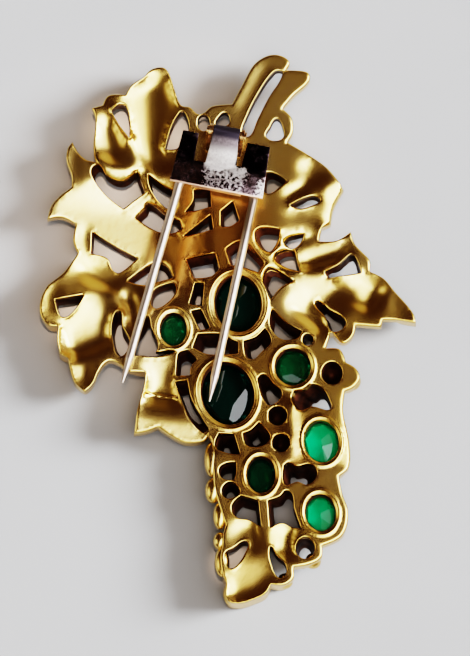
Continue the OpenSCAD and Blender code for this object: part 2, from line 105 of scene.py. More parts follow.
CROWN = [(151, 171, 1), (178, 186), (262, 186), (300, 215), (290, 250), (262, 282), (240, 280),
         (190, 310), (160, 290), (130, 284), (112, 269, 1), (132, 250, 1), (160, 240), (158, 212),
         (143, 195), (134, 167, 1)]
LEAVES = [LEAF_A, LEAF_B, LEAF_C, RIBBON, LEAF_F, STEM, LEAF_E, LEAF_H, CROWN]

# Pierced openings in the same way: in the leaves and the stem, round the star, in the bunch of grapes
OPENINGS = [
    [(111, 111, 1), (118, 104), (125, 105), (129, 120), (129, 138, 1), (120, 126)],
    [(180, 111), (189, 127), (181, 142), (176, 148), (165, 148, 1)],
    [(216, 124), (220, 115), (225, 112), (229, 116), (228, 124)],
    [(274, 71), (283, 72), (268, 98), (257, 120), (250, 135), (242, 134), (246, 118), (257, 95)],
    [(277, 118), (283, 128), (283, 137), (273, 140), (266, 135), (270, 127)],
    [(97, 164), (107, 176), (121, 181), (133, 177), (137, 170, 1), (145, 190, 1), (135, 197),
     (123, 206, 1), (104, 192), (91, 173)],
    [(148, 173, 1), (160, 182), (175, 190, 1), (174, 207), (160, 200), (150, 186)],
    [(148, 200), (166, 212), (180, 219, 1), (182, 226, 1), (173, 230), (162, 229), (148, 223),
     (135, 214, 1), (143, 209)],
    [(93, 231, 1), (115, 244), (137, 255, 1), (120, 270), (113, 268), (107, 256), (91, 252, 1)],
    [(127, 279, 1), (140, 268), (155, 259), (166, 262), (173, 275, 1), (158, 279), (146, 283)],
    [(155, 287), (174, 280, 1), (176, 289), (170, 299), (157, 308), (151, 303)],
    [(55, 299, 1), (69, 297), (84, 294, 1), (77, 306), (67, 316), (60, 315)],
    [(112, 323), (119, 310), (122, 325), (130, 342), (127, 351), (119, 356), (113, 340)],
    [(147, 316), (151, 327), (158, 347), (149, 356), (140, 352), (142, 333)],
    [(194, 189, 1), (210, 189, 1), (211, 206, 1), (198, 209), (185, 210, 1), (193, 200)],
    [(211, 214, 1), (213, 229, 1), (199, 232), (183, 234, 1)],
    [(221, 211, 1), (233, 201, 1), (239, 220, 1), (230, 226), (221, 226, 1)],
    [(267, 172), (287, 181, 1), (279, 187), (270, 193), (263, 190)],
    [(290, 205, 1), (305, 198), (315, 196), (320, 200), (312, 205), (300, 208)],
    [(255, 233), (262, 227), (280, 229, 1), (277, 240), (268, 250)],
    [(285, 241, 1), (290, 236), (304, 233, 1), (300, 242), (292, 247)],
    [(275, 257), (283, 250), (294, 249, 1), (300, 271, 1), (288, 266)],
    [(263, 279), (271, 268), (294, 281, 1), (281, 287), (271, 299, 1), (267, 290)],
    [(226, 249, 1), (240, 241), (250, 248), (263, 262, 1), (258, 271, 1), (246, 267), (231, 265, 1)],
    [(325, 271, 1), (338, 265), (346, 258), (352, 254), (358, 262), (361, 272, 1), (345, 275),
     (328, 277, 1)],
    [(316, 300), (330, 309), (346, 322), (333, 331), (325, 315)],
    [(272, 308, 1), (280, 316), (290, 325), (302, 331, 1), (297, 338), (280, 338), (270, 324)],
    [(186, 257, 1), (215, 253, 1), (219, 268, 1), (211, 276), (194, 277, 1)],
    [(195, 282, 1), (204, 283, 1), (202, 306, 1), (189, 304, 1)],
    [(191, 311, 1), (201, 309, 1), (210, 328, 1), (200, 330, 1)],
    [(179, 353), (188, 350, 1), (197, 359, 1), (191, 366), (190, 375, 1), (176, 375, 1), (177, 362)],
    [(175, 381, 1), (187, 380, 1), (190, 395), (197, 410), (209, 429, 1), (203, 432), (189, 418),
     (182, 400)],
    [(198, 334, 1), (222, 334), (230, 339), (238, 342, 1), (238, 353, 1), (208, 354), (193, 347, 1)],
    [(265, 328, 1), (271, 341), (261, 352), (253, 359), (246, 356), (244, 341, 1), (256, 337)],
    [(258, 380), (264, 374), (274, 384), (281, 390), (281, 397), (275, 403), (267, 404)],
    [(292, 400), (295, 391), (303, 390), (312, 384), (322, 388), (328, 397), (330, 409), (312, 406),
     (300, 410)],
    [(243, 433, 1), (251, 430), (259, 422, 1), (266, 429), (270, 438), (261, 446), (247, 445)],
    [(219, 433, 1), (234, 434, 1), (240, 454, 1), (225, 452), (215, 446)],
    [(219, 469), (226, 463), (236, 462, 1), (236, 472), (234, 479, 1), (223, 478)],
    [(222, 489), (228, 482), (235, 483), (240, 492), (233, 497), (225, 497)],
    [(284, 465, 1), (289, 462), (297, 466), (310, 464), (317, 473), (308, 484), (297, 481), (285, 484)],
    [(232, 505), (241, 495, 1), (258, 500, 1), (261, 526, 1), (249, 519), (236, 516)],
    [(268, 500, 1), (280, 496), (286, 490), (292, 494), (294, 508), (301, 528, 1), (292, 526), (281, 522),
     (270, 527, 1)],
    [(225, 553), (234, 547), (247, 540), (245, 552), (235, 566), (228, 566)],
    [(270, 546), (277, 555), (285, 563), (286, 572), (280, 577), (273, 568)],
]

# Round openings and hollow beads: [x, y, half width, half height, 1 for a closed bead]
BEADS = [[203.5, 122, 6, 8.5, 0], [308, 339.5, 5.5, 6, 0], [332, 373, 10.5, 11.5, 1],
         [277.5, 415.5, 9.5, 9.5, 1], [281, 442.5, 9, 9, 1], [305, 547, 9.5, 11, 0]]

# Gold bead grapes of the front: [x, y, radius]
FRONT_BEADS = [[332, 373, 17], [278, 416, 15], [281, 443, 13], [305, 547, 14], [250, 440, 15],
               [226, 444, 13], [228, 472, 12], [231, 491, 11], [300, 473, 13], [248, 509, 13],
               [283, 510, 12], [270, 391, 12], [312, 397, 13], [258, 346, 14], [216, 344, 14],
               [218, 512, 8], [214, 480, 8], [340, 455, 9], [196, 292, 10], [201, 320, 10]]

# Stones: [x, y, half width and half height seen through the setting, the same of its mouth, turn]
STONES = [[173.5, 329, 12.5, 15.5, 15, 18.2, 0], [238, 303, 22, 27.5, 27.5, 32, 4],
          [293, 366.5, 17, 17.5, 19.5, 20.5, 0], [227.5, 393, 25, 31, 29.5, 34.5, 14],
          [321.5, 441, 16.5, 20.5, 18.4, 22.6, 8], [261, 474, 13.5, 17.5, 15.8, 20, 0],
          [320.5, 512, 14.5, 17.5, 16.6, 20.2, 8]]

# Hollows of the back, domed in front: [x, y, x, y of the lowest line, reach to its left or below,
# to its right or above and past its ends, depth in mm, roundness of the bottom, height of the dome]
HOLLOWS = [
    (151, 86, 153, 160, 33, 34, 16, 1.1, 1.5, 2.9), (107, 126, 113, 148, 16, 14, 14, 0.8, 2, 2.3),
    (70, 156, 71, 176, 9, 9, 14, 0.4, 2, 1.2), (84, 236, 86, 250, 12, 10, 14, 0.4, 2, 1.0),
    (90, 268, 108, 280, 16, 18, 18, 0.75, 1.8, 1.6), (74, 350, 116, 332, 13, 52, 18, 1.6, 1.5, 2.9),
    (130, 300, 137, 318, 16, 10, 18, 1.3, 2, 2.4), (88, 366, 88, 380, 17, 6, 9, 0.6, 2, 1.6),
    (52, 292, 50, 308, 9, 9, 12, 0.4, 2, 1.0), (148, 390, 176, 393, 22, 36, 14, 1.3, 1.3, 2.0),
    (311, 166, 319, 176, 14, 11, 11, 0.6, 2, 2.2), (292, 196, 306, 188, 6, 8, 8, 0.8, 1.6, 1.7),
    (300, 212, 318, 222, 16, 12, 18, 0.4, 2, 1.2), (264, 72, 246, 106, 8, 8, 12, 0.25, 2, 1.6),
    (312, 260, 340, 251, 11, 12, 14, 0.9, 1.6, 2.2), (378, 290, 370, 304, 46, 11, 14, 1.25, 1.0, 2.9),
    (392, 300, 408, 316, 7, 14, 10, 0.5, 2, 1.5), (306, 312, 322, 324, 12, 22, 24, 1.3, 1.4, 2.4),
    (341, 331, 344, 334, 7, 7, 5, 0.6, 2, 1.4), (252, 526, 254, 542, 25, 8, 10, 0.65, 2, 2.2),
    (222, 606, 280, 598, 5, 46, 12, 0.88, 1.3, 2.9), (291, 530, 290, 550, 20, 6, 10, 0.9, 2, 2.0)]

# Places where the whole sheet leans down, rims too: as the hollows, up to the depth
DIPS = [(158, 214, 160, 262, 108, 50, 50, 2.7), (298, 240, 302, 262, 45, 40, 12, 1.0),
        (322, 306, 338, 288, 22, 44, 9, 1.25), (353, 398, 353, 464, 13, 6, 8, 0.5),
        (134, 436, 196, 446, 10, 22, 24, 0.9), (347, 190, 330, 228, 10, 8, 6, 0.9)]

# Rounded rims in mm: outside, in the openings, and on the star of arms [x, y, half width and height]
OUTER_ROUND = 0.38
INNER_ROUND = 0.22
STAR_ROUND = 0.8
STAR = (268, 255, 4.2, 3.6)
STAR_FADE = (0.7, 1.1)
# Settings in mm: the raised bezel, the funnel and its lip, the closed cups, and the front's collars
BEZEL_W = 0.6
BEZEL_UP = 0.15
BEZEL_CROWN = 0.8
FUNNEL_Z = 3.4
LIP_SHARE = 0.3
LIP_SLOPE = 0.42
CUP_DEPTH = 2.9
COLLAR_Z = 0.5
COLLAR_GAP = 0.04
COLLAR_W = 0.35
COLLAR_END = 0.95
COLLAR_RISE = 4
# Hollows: how steeply they start, how sharply they join, and how far a rim sinks with them
START_POWER = 1.15
JOIN_POWER = 3
RIM_FOLLOWS = 0.4
RIM_REACH = (0.1, 1.0)
# A dome is wider than its hollow, in units of the drawing
WIDER = 3
# Smoothing: its rounds on the back and the front, its share, and how near an edge it fades in mm
SMOOTHING = 20
FRONT_SMOOTHING = 6
SETTLE = 0.6
EDGE_HOLD = 0.3
# A turn that is a corner, a ridge so narrow that it stays a crease, a loop in mm that is a sliver
CORNER = math.radians(32)
THIN = 2
SLIVER = 0.4
# Below this height, and inside this share of the mouth, a cup or a funnel is rough and painted dark as
# shade
SHADED_BELOW_Z = 4.75
SHADED_MOUTH = 0.93

# Ridges of the back: [half width in units of the drawing, height in mm, then the points of its line]
RIDGES = [
    (1.3, 0.2, (145, 391), (158, 394), (177, 397)),
    (6, 0.6, (322, 184), (325, 190)),
    (3.6, 0.8, (112, 106), (122, 124), (134, 148), (136, 162), (127, 171), (112, 170), (99, 160)),
    (3, 0.4, (140, 158), (147, 180), (158, 200), (168, 209)),
    (2.5, 0.5, (289, 203), (300, 197), (317, 184)),
    (5, 0.55, (290, 406), (291, 430), (292, 452)),
]

# Beads of the front that stand out past the frame's edge: [x, y, half width and height, z]
BUDS = [(212, 458, 8, 18, 3.9), (213, 489, 8, 13, 3.9), (220, 514, 7, 14, 3.9), (220, 539, 7, 9, 3.8),
        (222, 560, 7.5, 15, 3.8), (231, 590, 8, 12, 2.7), (351, 378, 10, 10, 2.8), (285, 577, 8, 8, 2.4),
        (313, 557, 8, 8, 2.4)]

# Openings that the front's beads close in on: [x, y, share left open, shift across and down], where
# x, y is within a few units of the opening's middle
NEAR_MIDDLE = 6
NARROWED = [
    (270, 388, 0.55, 3, 4), (311, 397, 0.45, 9, 4), (256, 434, 0.3, 0, 2), (227, 443, 0.3, 0, 2),
    (228, 471, 0.55, 0, 2), (231, 490, 0.5, 0, 1), (300, 473, 0.5, -1, 4), (247, 508, 0.75, 1, 3),
    (284, 510, 0.8, 2, 2), (255, 344, 0.5, 0, 3), (216, 344, 0.6, 0, 4), (196, 294, 0.5, 1, 2),
    (200, 320, 0.5, 1, 2), (183, 363, 0.7, 1, 4), (193, 406, 0.6, 0, 0), (229, 555, 0.85, 0, 1),
    (118, 185, 0.9, 1, 3), (162, 190, 0.8, 1, 3), (158, 215, 0.85, 1, 3), (114, 250, 0.92, 0, 1),
    (150, 271, 0.85, 1, 3), (163, 294, 0.85, 0, 2), (70, 305, 0.88, 1, 2), (121, 333, 0.75, 1, 3),
    (149, 336, 0.75, 1, 3), (198, 199, 0.8, 0, 4), (198, 224, 0.75, 1, 3), (230, 213, 0.75, 1, 3),
    (275, 182, 0.75, 1, 2), (305, 202, 0.9, 0, 1), (267, 238, 0.78, 2, 3), (294, 240, 0.92, 0, 1),
    (287, 260, 0.75, 2, 2), (278, 283, 0.78, 2, 3), (244, 256, 0.8, 1, 4), (343, 265, 0.85, 1, 2),
    (331, 315, 0.6, 3, 3), (286, 323, 0.6, -2, 5), (202, 265, 0.75, 1, 5), (305, 547, 0.6, 0, 2),
    (308, 339, 0.6, 0, 1)]

# Rows of points beside the edges in mm, on the back and on the front, and the share of that distance
# to any edge from which a point is kept
BACK_ROWS = (0.04, 0.09, 0.16, 0.26, 0.4)
FRONT_ROWS = (0.08, 0.2)
ROW_KEPT = 0.9
# Rings round a setting: [share of the way from its hole to its mouth, distance outside that in mm]
SETTING_RINGS = ((0.15, 0), (0.3, 0), (0.6, 0), (1, -0.03), (1, 0.03), (1, 0.16), (1, 0.3), (1, 0.44),
                 (1, 0.58))
# Rings of a closed cup and rows of a crease, as shares of their half widths
CUP_RINGS = (0.3, 0.6, 0.8, 0.92, 0.98, 1.03, 1.12)
CREASE_ROWS = (-1.2, -0.6, 0, 0.6, 1.2)
# Rings down a wall: shares of an opening's depth, and [distance outside the hole, z] in a setting
WALL_RINGS = (0.12, 0.5, 0.88)
SEAT_RINGS = ((0.01, LEDGE_Z + 0.05), (0.44, LEDGE_Z), (0.44, 2.0), (0.07, 0.62))


def place(x, y):
    """A point of the drawing in the part's own frame, in mm."""
    return (x - SHEET_MID[0]) * UNIT, (SHEET_MID[1] - y) * UNIT / math.cos(LEAN)


def smooth(table, steps):
    """The smooth closed curve through a table's points, straight into its sharp corners."""
    at = np.array([place(row[0], row[1]) for row in table])
    after = np.roll(at, -1, 0)
    way = after - np.roll(at, 1, 0)
    way /= np.linalg.norm(way, axis=1, keepdims=True)
    way[[len(row) == 3 for row in table]] = 0
    reach = np.linalg.norm(after - at, axis=1, keepdims=True)
    leave, arrive = way * reach, np.roll(way, -1, 0) * reach
    s = (np.arange(steps) / steps)[None, :, None]
    curve = ((2 * s**3 - 3 * s**2 + 1) * at[:, None] + (3 * s**2 - 2 * s**3) * after[:, None]
             + (s**3 - 2 * s**2 + s) * leave[:, None] + (s**3 - s**2) * arrive[:, None])
    return curve.reshape(-1, 2)


def oval(x, y, half_w, half_h, turn=0, count=None):
    """Points round an oval whose middle is a point of the drawing and whose half sizes are in mm."""
    count = count or max(16, round(math.pi * (half_w + half_h) / SPACING))
    a = np.arange(count) * 2 * math.pi / count
    c, s = math.cos(math.radians(turn)), math.sin(math.radians(turn))
    across, up = half_w * np.cos(a), half_h * np.sin(a)
    return np.array(place(x, y)) + np.column_stack([across * c - up * s, across * s + up * c])


def signed_area(loop):
    after = np.roll(loop, -1, 0)
    return (loop[:, 0] * after[:, 1] - after[:, 0] * loop[:, 1]).sum() / 2


def ring(around):
    """Cosine and sine of even steps round a circle."""
    return [(math.cos(k * math.tau / around), math.sin(k * math.tau / around)) for k in range(around)]


def walk(line, steps):
    """Points along an open line, at the distances that a function gives for its length."""
    along = np.concatenate([[0], np.cumsum(np.linalg.norm(np.diff(line, axis=0), axis=1))])
    want = steps(along[-1])
    return np.column_stack([np.interp(want, along, line[:, k]) for k in (0, 1)])


def inside_out(outlines, holes):
    """The boundary loops of the outlines' union less the holes, with the solid on the left of each loop."""
    points, faces = [], []
    for loop in outlines + holes:
        loop = loop if signed_area(loop) > 0 else loop[::-1]
        faces.append(list(range(len(points), len(points) + len(loop))))
        points += [Vector(p) for p in loop]
    at, _, tris, _, _, source = delaunay_2d_cdt(points, [], faces, 0, 1e-5)
    kept = [t for t, s in zip(tris, source) if s and max(s) < len(outlines)]
    edges = {(t[k], t[(k + 1) % 3]) for t in kept for k in range(3)}
    onward = {}
    for a, b in sorted(edges):
        if (b, a) not in edges:
            onward.setdefault(a, []).append(b)
    loops = []
    while onward:
        start = next(iter(onward))
        loop, here = [], start
        while here in onward:
            loop.append(here)
            there = onward[here].pop()
            if not onward[here]:
                del onward[here]
            here = there
        loops.append(np.array([at[i][:] for i in loop]))
    return loops


def resample(loop, spacing):
    """Even points along a closed loop, with its sharp corners kept."""
    def steps(length):
        count = max(1, round(length / spacing))
        return np.arange(count) * length / count

    before, after = loop - np.roll(loop, 1, 0), np.roll(loop, -1, 0) - loop
    turn = np.arctan2(before[:, 0] * after[:, 1] - before[:, 1] * after[:, 0], (before * after).sum(1))
    corners = np.flatnonzero(np.abs(turn) > CORNER)
    start = corners[0] if len(corners) else 0
    loop = np.roll(loop, -start, 0)
    ends = [*(corners - start), len(loop)] if len(corners) else [0, len(loop)]
    closed = np.vstack([loop, loop[:1]])
    return np.vstack([walk(closed[a:b + 1], steps) for a, b in zip(ends, ends[1:])])


def into_solid(loop):
    """Unit vectors from each point of a loop into the solid, which is on the loop's left."""
    along = np.roll(loop, -1, 0) - np.roll(loop, 1, 0)
    inward = np.column_stack([-along[:, 1], along[:, 0]])
    return inward / np.maximum(np.linalg.norm(inward, axis=1, keepdims=True), 1e-9)


def within(points, loops):
    """Which points lie inside the loops, by the even-odd rule."""
    inside = np.zeros(len(points), bool)
    for loop in loops:
        after = np.roll(loop, -1, 0)
        for (ax, ay), (bx, by) in zip(loop, after):
            if ay != by:
                crosses = (points[:, 1] > min(ay, by)) & (points[:, 1] <= max(ay, by))
                x = ax + (points[crosses, 1] - ay) * (bx - ax) / (by - ay)
                inside[crosses] ^= points[crosses, 0] < x
    return inside


def nearest_edge(points, loops):
    """Distance from each point to the nearest loop, and that loop's number."""
    starts, ends, owner = [], [], []
    for number, loop in enumerate(loops):
        starts.append(loop)
        ends.append(np.roll(loop, -1, 0))
        owner += [number] * len(loop)
    starts, ends, owner = np.vstack(starts), np.vstack(ends), np.array(owner)
    tree = kdtree.KDTree(len(starts))
    for i, p in enumerate((starts + ends) / 2):
        tree.insert((p[0], p[1], 0), i)
    tree.balance()
    near = np.array([[hit[1] for hit in tree.find_n((p[0], p[1], 0), 4)] for p in points])
    a, b, p = starts[near], ends[near], points[:, None, :]
    share = np.clip(((p - a) * (b - a)).sum(2) / np.maximum(((b - a) ** 2).sum(2), 1e-12), 0, 1)
    away = np.linalg.norm(a + share[..., None] * (b - a) - p, axis=2)
    best = away.argmin(1)
    rows = np.arange(len(points))
    return away[rows, best], owner[near[rows, best]]


def step(low, high, value):
    """A smooth rise from 0 at low to 1 at high."""
    t = np.clip((value - low) / (high - low), 0, 1)
    return t * t * (3 - 2 * t)


def hollow_reach(points, row, wider=0):
    """How far out each point lies in a hollow: 0 on its lowest line and 1 at its edge."""
    a, b = np.array(place(row[0], row[1])), np.array(place(row[2], row[3]))
    length = np.linalg.norm(b - a)
    way = (b - a) / length
    along = (points - a) @ way
    past = np.maximum(np.maximum(-along, along - length), 0)
    side = (points - a) @ np.array([way[1], -way[0]])
    left, right, end = [(reach + wider) * UNIT for reach in row[4:7]]
    return np.hypot(side / np.where(side > 0, left, right), past / end)


def line_distance(points, line):
    """Distance from each point to an open line through the drawing's points."""
    at = np.array([place(*p) for p in line])
    best = np.full(len(points), 1e9)
    for a, b in zip(at, at[1:]):
        share = np.clip(((points - a) @ (b - a)) / ((b - a) @ (b - a)), 0, 1)
        best = np.minimum(best, np.linalg.norm(points - a - share[:, None] * (b - a), axis=1))
    return best


def beside(line, aside):
    """Even points along an open line through the drawing's points, moved aside by a distance in mm."""
    at = np.array([place(*p) for p in line])
    middle = walk(at, lambda length: np.linspace(0, length, max(2, round(length / SPACING))))
    way = np.gradient(middle, axis=0)
    way /= np.linalg.norm(way, axis=1, keepdims=True)
    return middle + aside * np.column_stack([-way[:, 1], way[:, 0]])


def oval_reach(points, x, y, half_w, half_h, turn):
    """The radius of each point in an oval's own measure: 1 on the oval."""
    c, s = math.cos(math.radians(turn)), math.sin(math.radians(turn))
    p = points - np.array(place(x, y))
    return np.hypot((p[:, 0] * c + p[:, 1] * s) / half_w, (p[:, 1] * c - p[:, 0] * s) / half_h)


def blended(points, rows):
    """Depth of the hollows at each point, softly joined where they overlap."""
    total = np.zeros(len(points))
    for row in rows:
        share = 1 - np.clip(hollow_reach(points, row), 0, 1) ** row[8]
        total += (row[7] * share**START_POWER) ** JOIN_POWER
    return total ** (1 / JOIN_POWER)


def raised(points, rows):
    """Height of the ridges at each point."""
    return sum(height * np.exp(-((line_distance(points, line) / (half_width * UNIT)) ** 2))
               for half_width, height, *line in rows)


def dipped(points):
    """How far the whole sheet leans down at each point."""
    return np.max([row[7] * (1 - np.clip(hollow_reach(points, row), 0, 1)) for row in DIPS], axis=0)


def relax(z, tris, held, rounds):
    """Smooths heights over a triangle sheet, less where held is near 1."""
    pairs = np.vstack([tris[:, [0, 1]], tris[:, [1, 2]], tris[:, [2, 0]]])
    pairs = np.vstack([pairs, pairs[:, ::-1]])
    count = np.maximum(np.bincount(pairs[:, 0], minlength=len(z)), 1)
    for _ in range(rounds):
        mean = np.bincount(pairs[:, 0], weights=z[pairs[:, 1]], minlength=len(z)) / count
        z = z + (1 - held) * SETTLE * (mean - z)
    return z


def grid_points(loops, spacing, clear):
    """A hexagonal grid inside the loops, kept clear of them."""
    low, high = np.vstack(loops).min(0), np.vstack(loops).max(0)
    rows = np.arange(low[1], high[1], spacing * math.sqrt(3) / 2)
    across = np.arange(low[0], high[0], spacing)
    points = np.array([(x + spacing / 2 * (k % 2), y) for k, y in enumerate(rows) for x in across])
    points = points[within(points, loops)]
    away, _ = nearest_edge(points, loops)
    return points[away > clear]


def sheet_mesh(loops, extra):
    """Triangles between loops and through extra points: the points, the triangles, the loops' numbers."""
    points, rings, faces = [], [], []
    for loop in loops:
        ring = list(range(len(points), len(points) + len(loop)))
        rings.append(ring)
        faces.append(ring if signed_area(loop) > 0 else ring[::-1])
        points += [Vector(p) for p in loop]
    points += [Vector(p) for p in extra]
    at, _, tris, origin, _, source = delaunay_2d_cdt(points, [], faces, 0, 1e-6)
    now = {old: new for new, olds in enumerate(origin) for old in olds}
    kept = np.array([t for t, s in zip(tris, source) if list(s) == [0]])
    return np.array([p[:] for p in at]), kept, [[now[i] for i in ring] for ring in rings]


def stone_oval(row, grow):
    """A setting's hole, grown by a distance in mm."""
    return oval(row[0], row[1], row[2] * UNIT + grow, row[3] * UNIT + grow, row[6],
                max(20, round(math.pi * (row[2] + row[3]) * UNIT / SPACING)))


def rim_round(points, away, owner):
    """How far the rounded rims drop below the flat: the star's arms are the roundest."""
    star = 1 - step(*STAR_FADE, oval_reach(points, *STAR, 0))
    radius = np.where(owner == 0, OUTER_ROUND, INNER_ROUND + (STAR_ROUND - INNER_ROUND) * star)
    inward = np.clip(radius - away, 0, None)
    return radius - np.sqrt(np.maximum(radius**2 - inward**2, 0))


def hole_reach(points, stone):
    """The radius of each point in the measure of a setting's hole."""
    x, y, half_w, half_h, _, _, turn = stone
    return oval_reach(points, x, y, half_w * UNIT, half_h * UNIT, turn)


def mouth_reach(points, stone):
    """The radius of each point in the measure of a setting's mouth."""
    x, y, _, _, mouth_w, mouth_h, turn = stone
    return oval_reach(points, x, y, mouth_w * UNIT, mouth_h * UNIT, turn)


def bead_reach(points, x, y, half_w, half_h):
    """The radius of each point in the measure of a bead."""
    return oval_reach(points, x, y, half_w * UNIT, half_h * UNIT, 0)


def back_heights(points, tris, away, owner):
    """Heights of the back: hollows inside raised rims, ridges, bezels round the stones, funnels, cups."""
    kept = np.where(owner == 0, 0, RIM_FOLLOWS)
    z = BACK_Z - dipped(points) - blended(points, HOLLOWS) * (kept + (1 - kept) * step(*RIM_REACH, away))
    creases = [row for row in RIDGES if row[0] < THIN]
    z += raised(points, [row for row in RIDGES if row not in creases])
    z = relax(z, tris, np.exp(-((away / EDGE_HOLD) ** 2)), SMOOTHING)
    z += raised(points, creases)
    for stone in STONES:
        out = (mouth_reach(points, stone) - 1) * (stone[4] + stone[5]) / 2 * UNIT
        z = z + (BACK_Z + BEZEL_UP - z) * np.sin(math.pi * np.clip(out / BEZEL_W, 0, 1)) ** BEZEL_CROWN
    z = z - rim_round(points, away, owner)
    for stone in STONES:
        past_hole = np.clip(hole_reach(points, stone) - 1, 0, None)
        to_mouth = 1 - mouth_reach(points, stone)
        share = past_hole / np.maximum(past_hole + to_mouth, 1e-6)
        gap = (stone[4] + stone[5] - stone[2] - stone[3]) / 2 * UNIT
        lip = BACK_Z - LIP_SLOPE * gap * (1 - share)
        z = np.where(to_mouth > 0, FUNNEL_Z + (lip - FUNNEL_Z) * step(0, LIP_SHARE, share), z)
    for x, y, half_w, half_h, closed in BEADS:
        if closed:
            reach = bead_reach(points, x, y, half_w, half_h)
            cup = BACK_Z - CUP_DEPTH * np.sqrt(np.clip(1 - reach**2, 0, 1))
            z = np.where(reach < 1, np.minimum(z, cup), z)
    return z


def front_heights(points, tris, away, owner):
    """Heights of the front: domed lobes, gold beads, and collars round the stones."""
    grapes = within(points, [smooth(GRAPES, STEPS)])
    z = np.where(grapes, FRAME_Z, LEAF_Z) - dipped(points)
    domes = [(hollow_reach(points, row, WIDER), row[9]) for row in HOLLOWS]
    domes += [(bead_reach(points, x, y, radius, radius), FRAME_Z) for x, y, radius in FRONT_BEADS]
    for out, height in domes:
        z = np.where(out < 1, np.minimum(z, LEAF_Z - height * np.sqrt(np.clip(1 - out**2, 0, 1))), z)
    z = relax(z, tris, np.exp(-((away / EDGE_HOLD) ** 2)), FRONT_SMOOTHING)
    z = np.maximum(z, 0) + rim_round(points, away, np.ones(len(points)))
    for stone in STONES:
        out = (hole_reach(points, stone) - 1) * (stone[2] + stone[3]) / 2 * UNIT
        collar = COLLAR_Z + np.clip(out - COLLAR_W, 0, 1) ** 2 * COLLAR_RISE
        z = np.where(out < COLLAR_END, np.minimum(z, collar), z)
    return z


def cupped(points):
    """Which points lie in a bead's cup or low in the funnel of a setting."""
    inside = np.zeros(len(points), bool)
    for x, y, half_w, half_h, _ in BEADS:
        inside |= bead_reach(points, x, y, half_w, half_h) < 1
    for stone in STONES:
        inside |= mouth_reach(points, stone) < SHADED_MOUTH
    return inside


def narrowed(loop):
    """An opening as it shows on the front, where the beads close in on it."""
    middle = (loop.min(0) + loop.max(0)) / 2
    for x, y, share, across, down in NARROWED:
        if np.hypot(*(middle - place(x, y))) < NEAR_MIDDLE * UNIT:
            return middle + (loop - middle) * share + np.array([across, -down]) * UNIT
    return loop


def bead(x, y, half_w, half_h, z):
    """A rounded gold bead, as deep as it is wide: its points and faces."""
    around, levels = 28, 12
    px, py = place(x, y)
    wide, tall = half_w * UNIT, half_h * UNIT
    at = [(px + wide * math.cos(lean) * c, py + tall * math.cos(lean) * s, z + wide * math.sin(lean))
          for lean in np.linspace(-88, 88, levels) * math.pi / 180 for c, s in ring(around)]
    faces = [[k * around + i, k * around + (i + 1) % around, (k + 1) * around + (i + 1) % around,
              (k + 1) * around + i] for k in range(levels - 1) for i in range(around)]
    faces += [list(range(around))[::-1], list(range((levels - 1) * around, levels * around))]
    return np.array(at), faces


def inset_rows(loops, insets):
    """Rows of points just inside the loops, with those left out that lie nearer to another edge."""
    rows = []
    for inset in insets:
        line = np.vstack([loop + into_solid(loop) * inset for loop in loops])
        away, _ = nearest_edge(line, loops)
        rows.append(line[away > ROW_KEPT * inset])
    return rows


def fine_rows(rims):
    """Rows of points that follow the back's rims, settings, creases and closed cups."""
    rows = inset_rows(rims, BACK_ROWS)
    for x, y, w, h, mouth_w, mouth_h, turn in STONES:
        for share, out in SETTING_RINGS:
            rows.append(oval(x, y, (w + (mouth_w - w) * share) * UNIT + out,
                             (h + (mouth_h - h) * share) * UNIT + out, turn))
    for half_width, _, *line in RIDGES:
        if half_width < THIN:
            rows += [beside(line, side * half_width * UNIT) for side in CREASE_ROWS]
    for x, y, w, h, closed in BEADS:
        if closed:
            rows += [oval(x, y, w * UNIT * share, h * UNIT * share) for share in CUP_RINGS]
    return rows


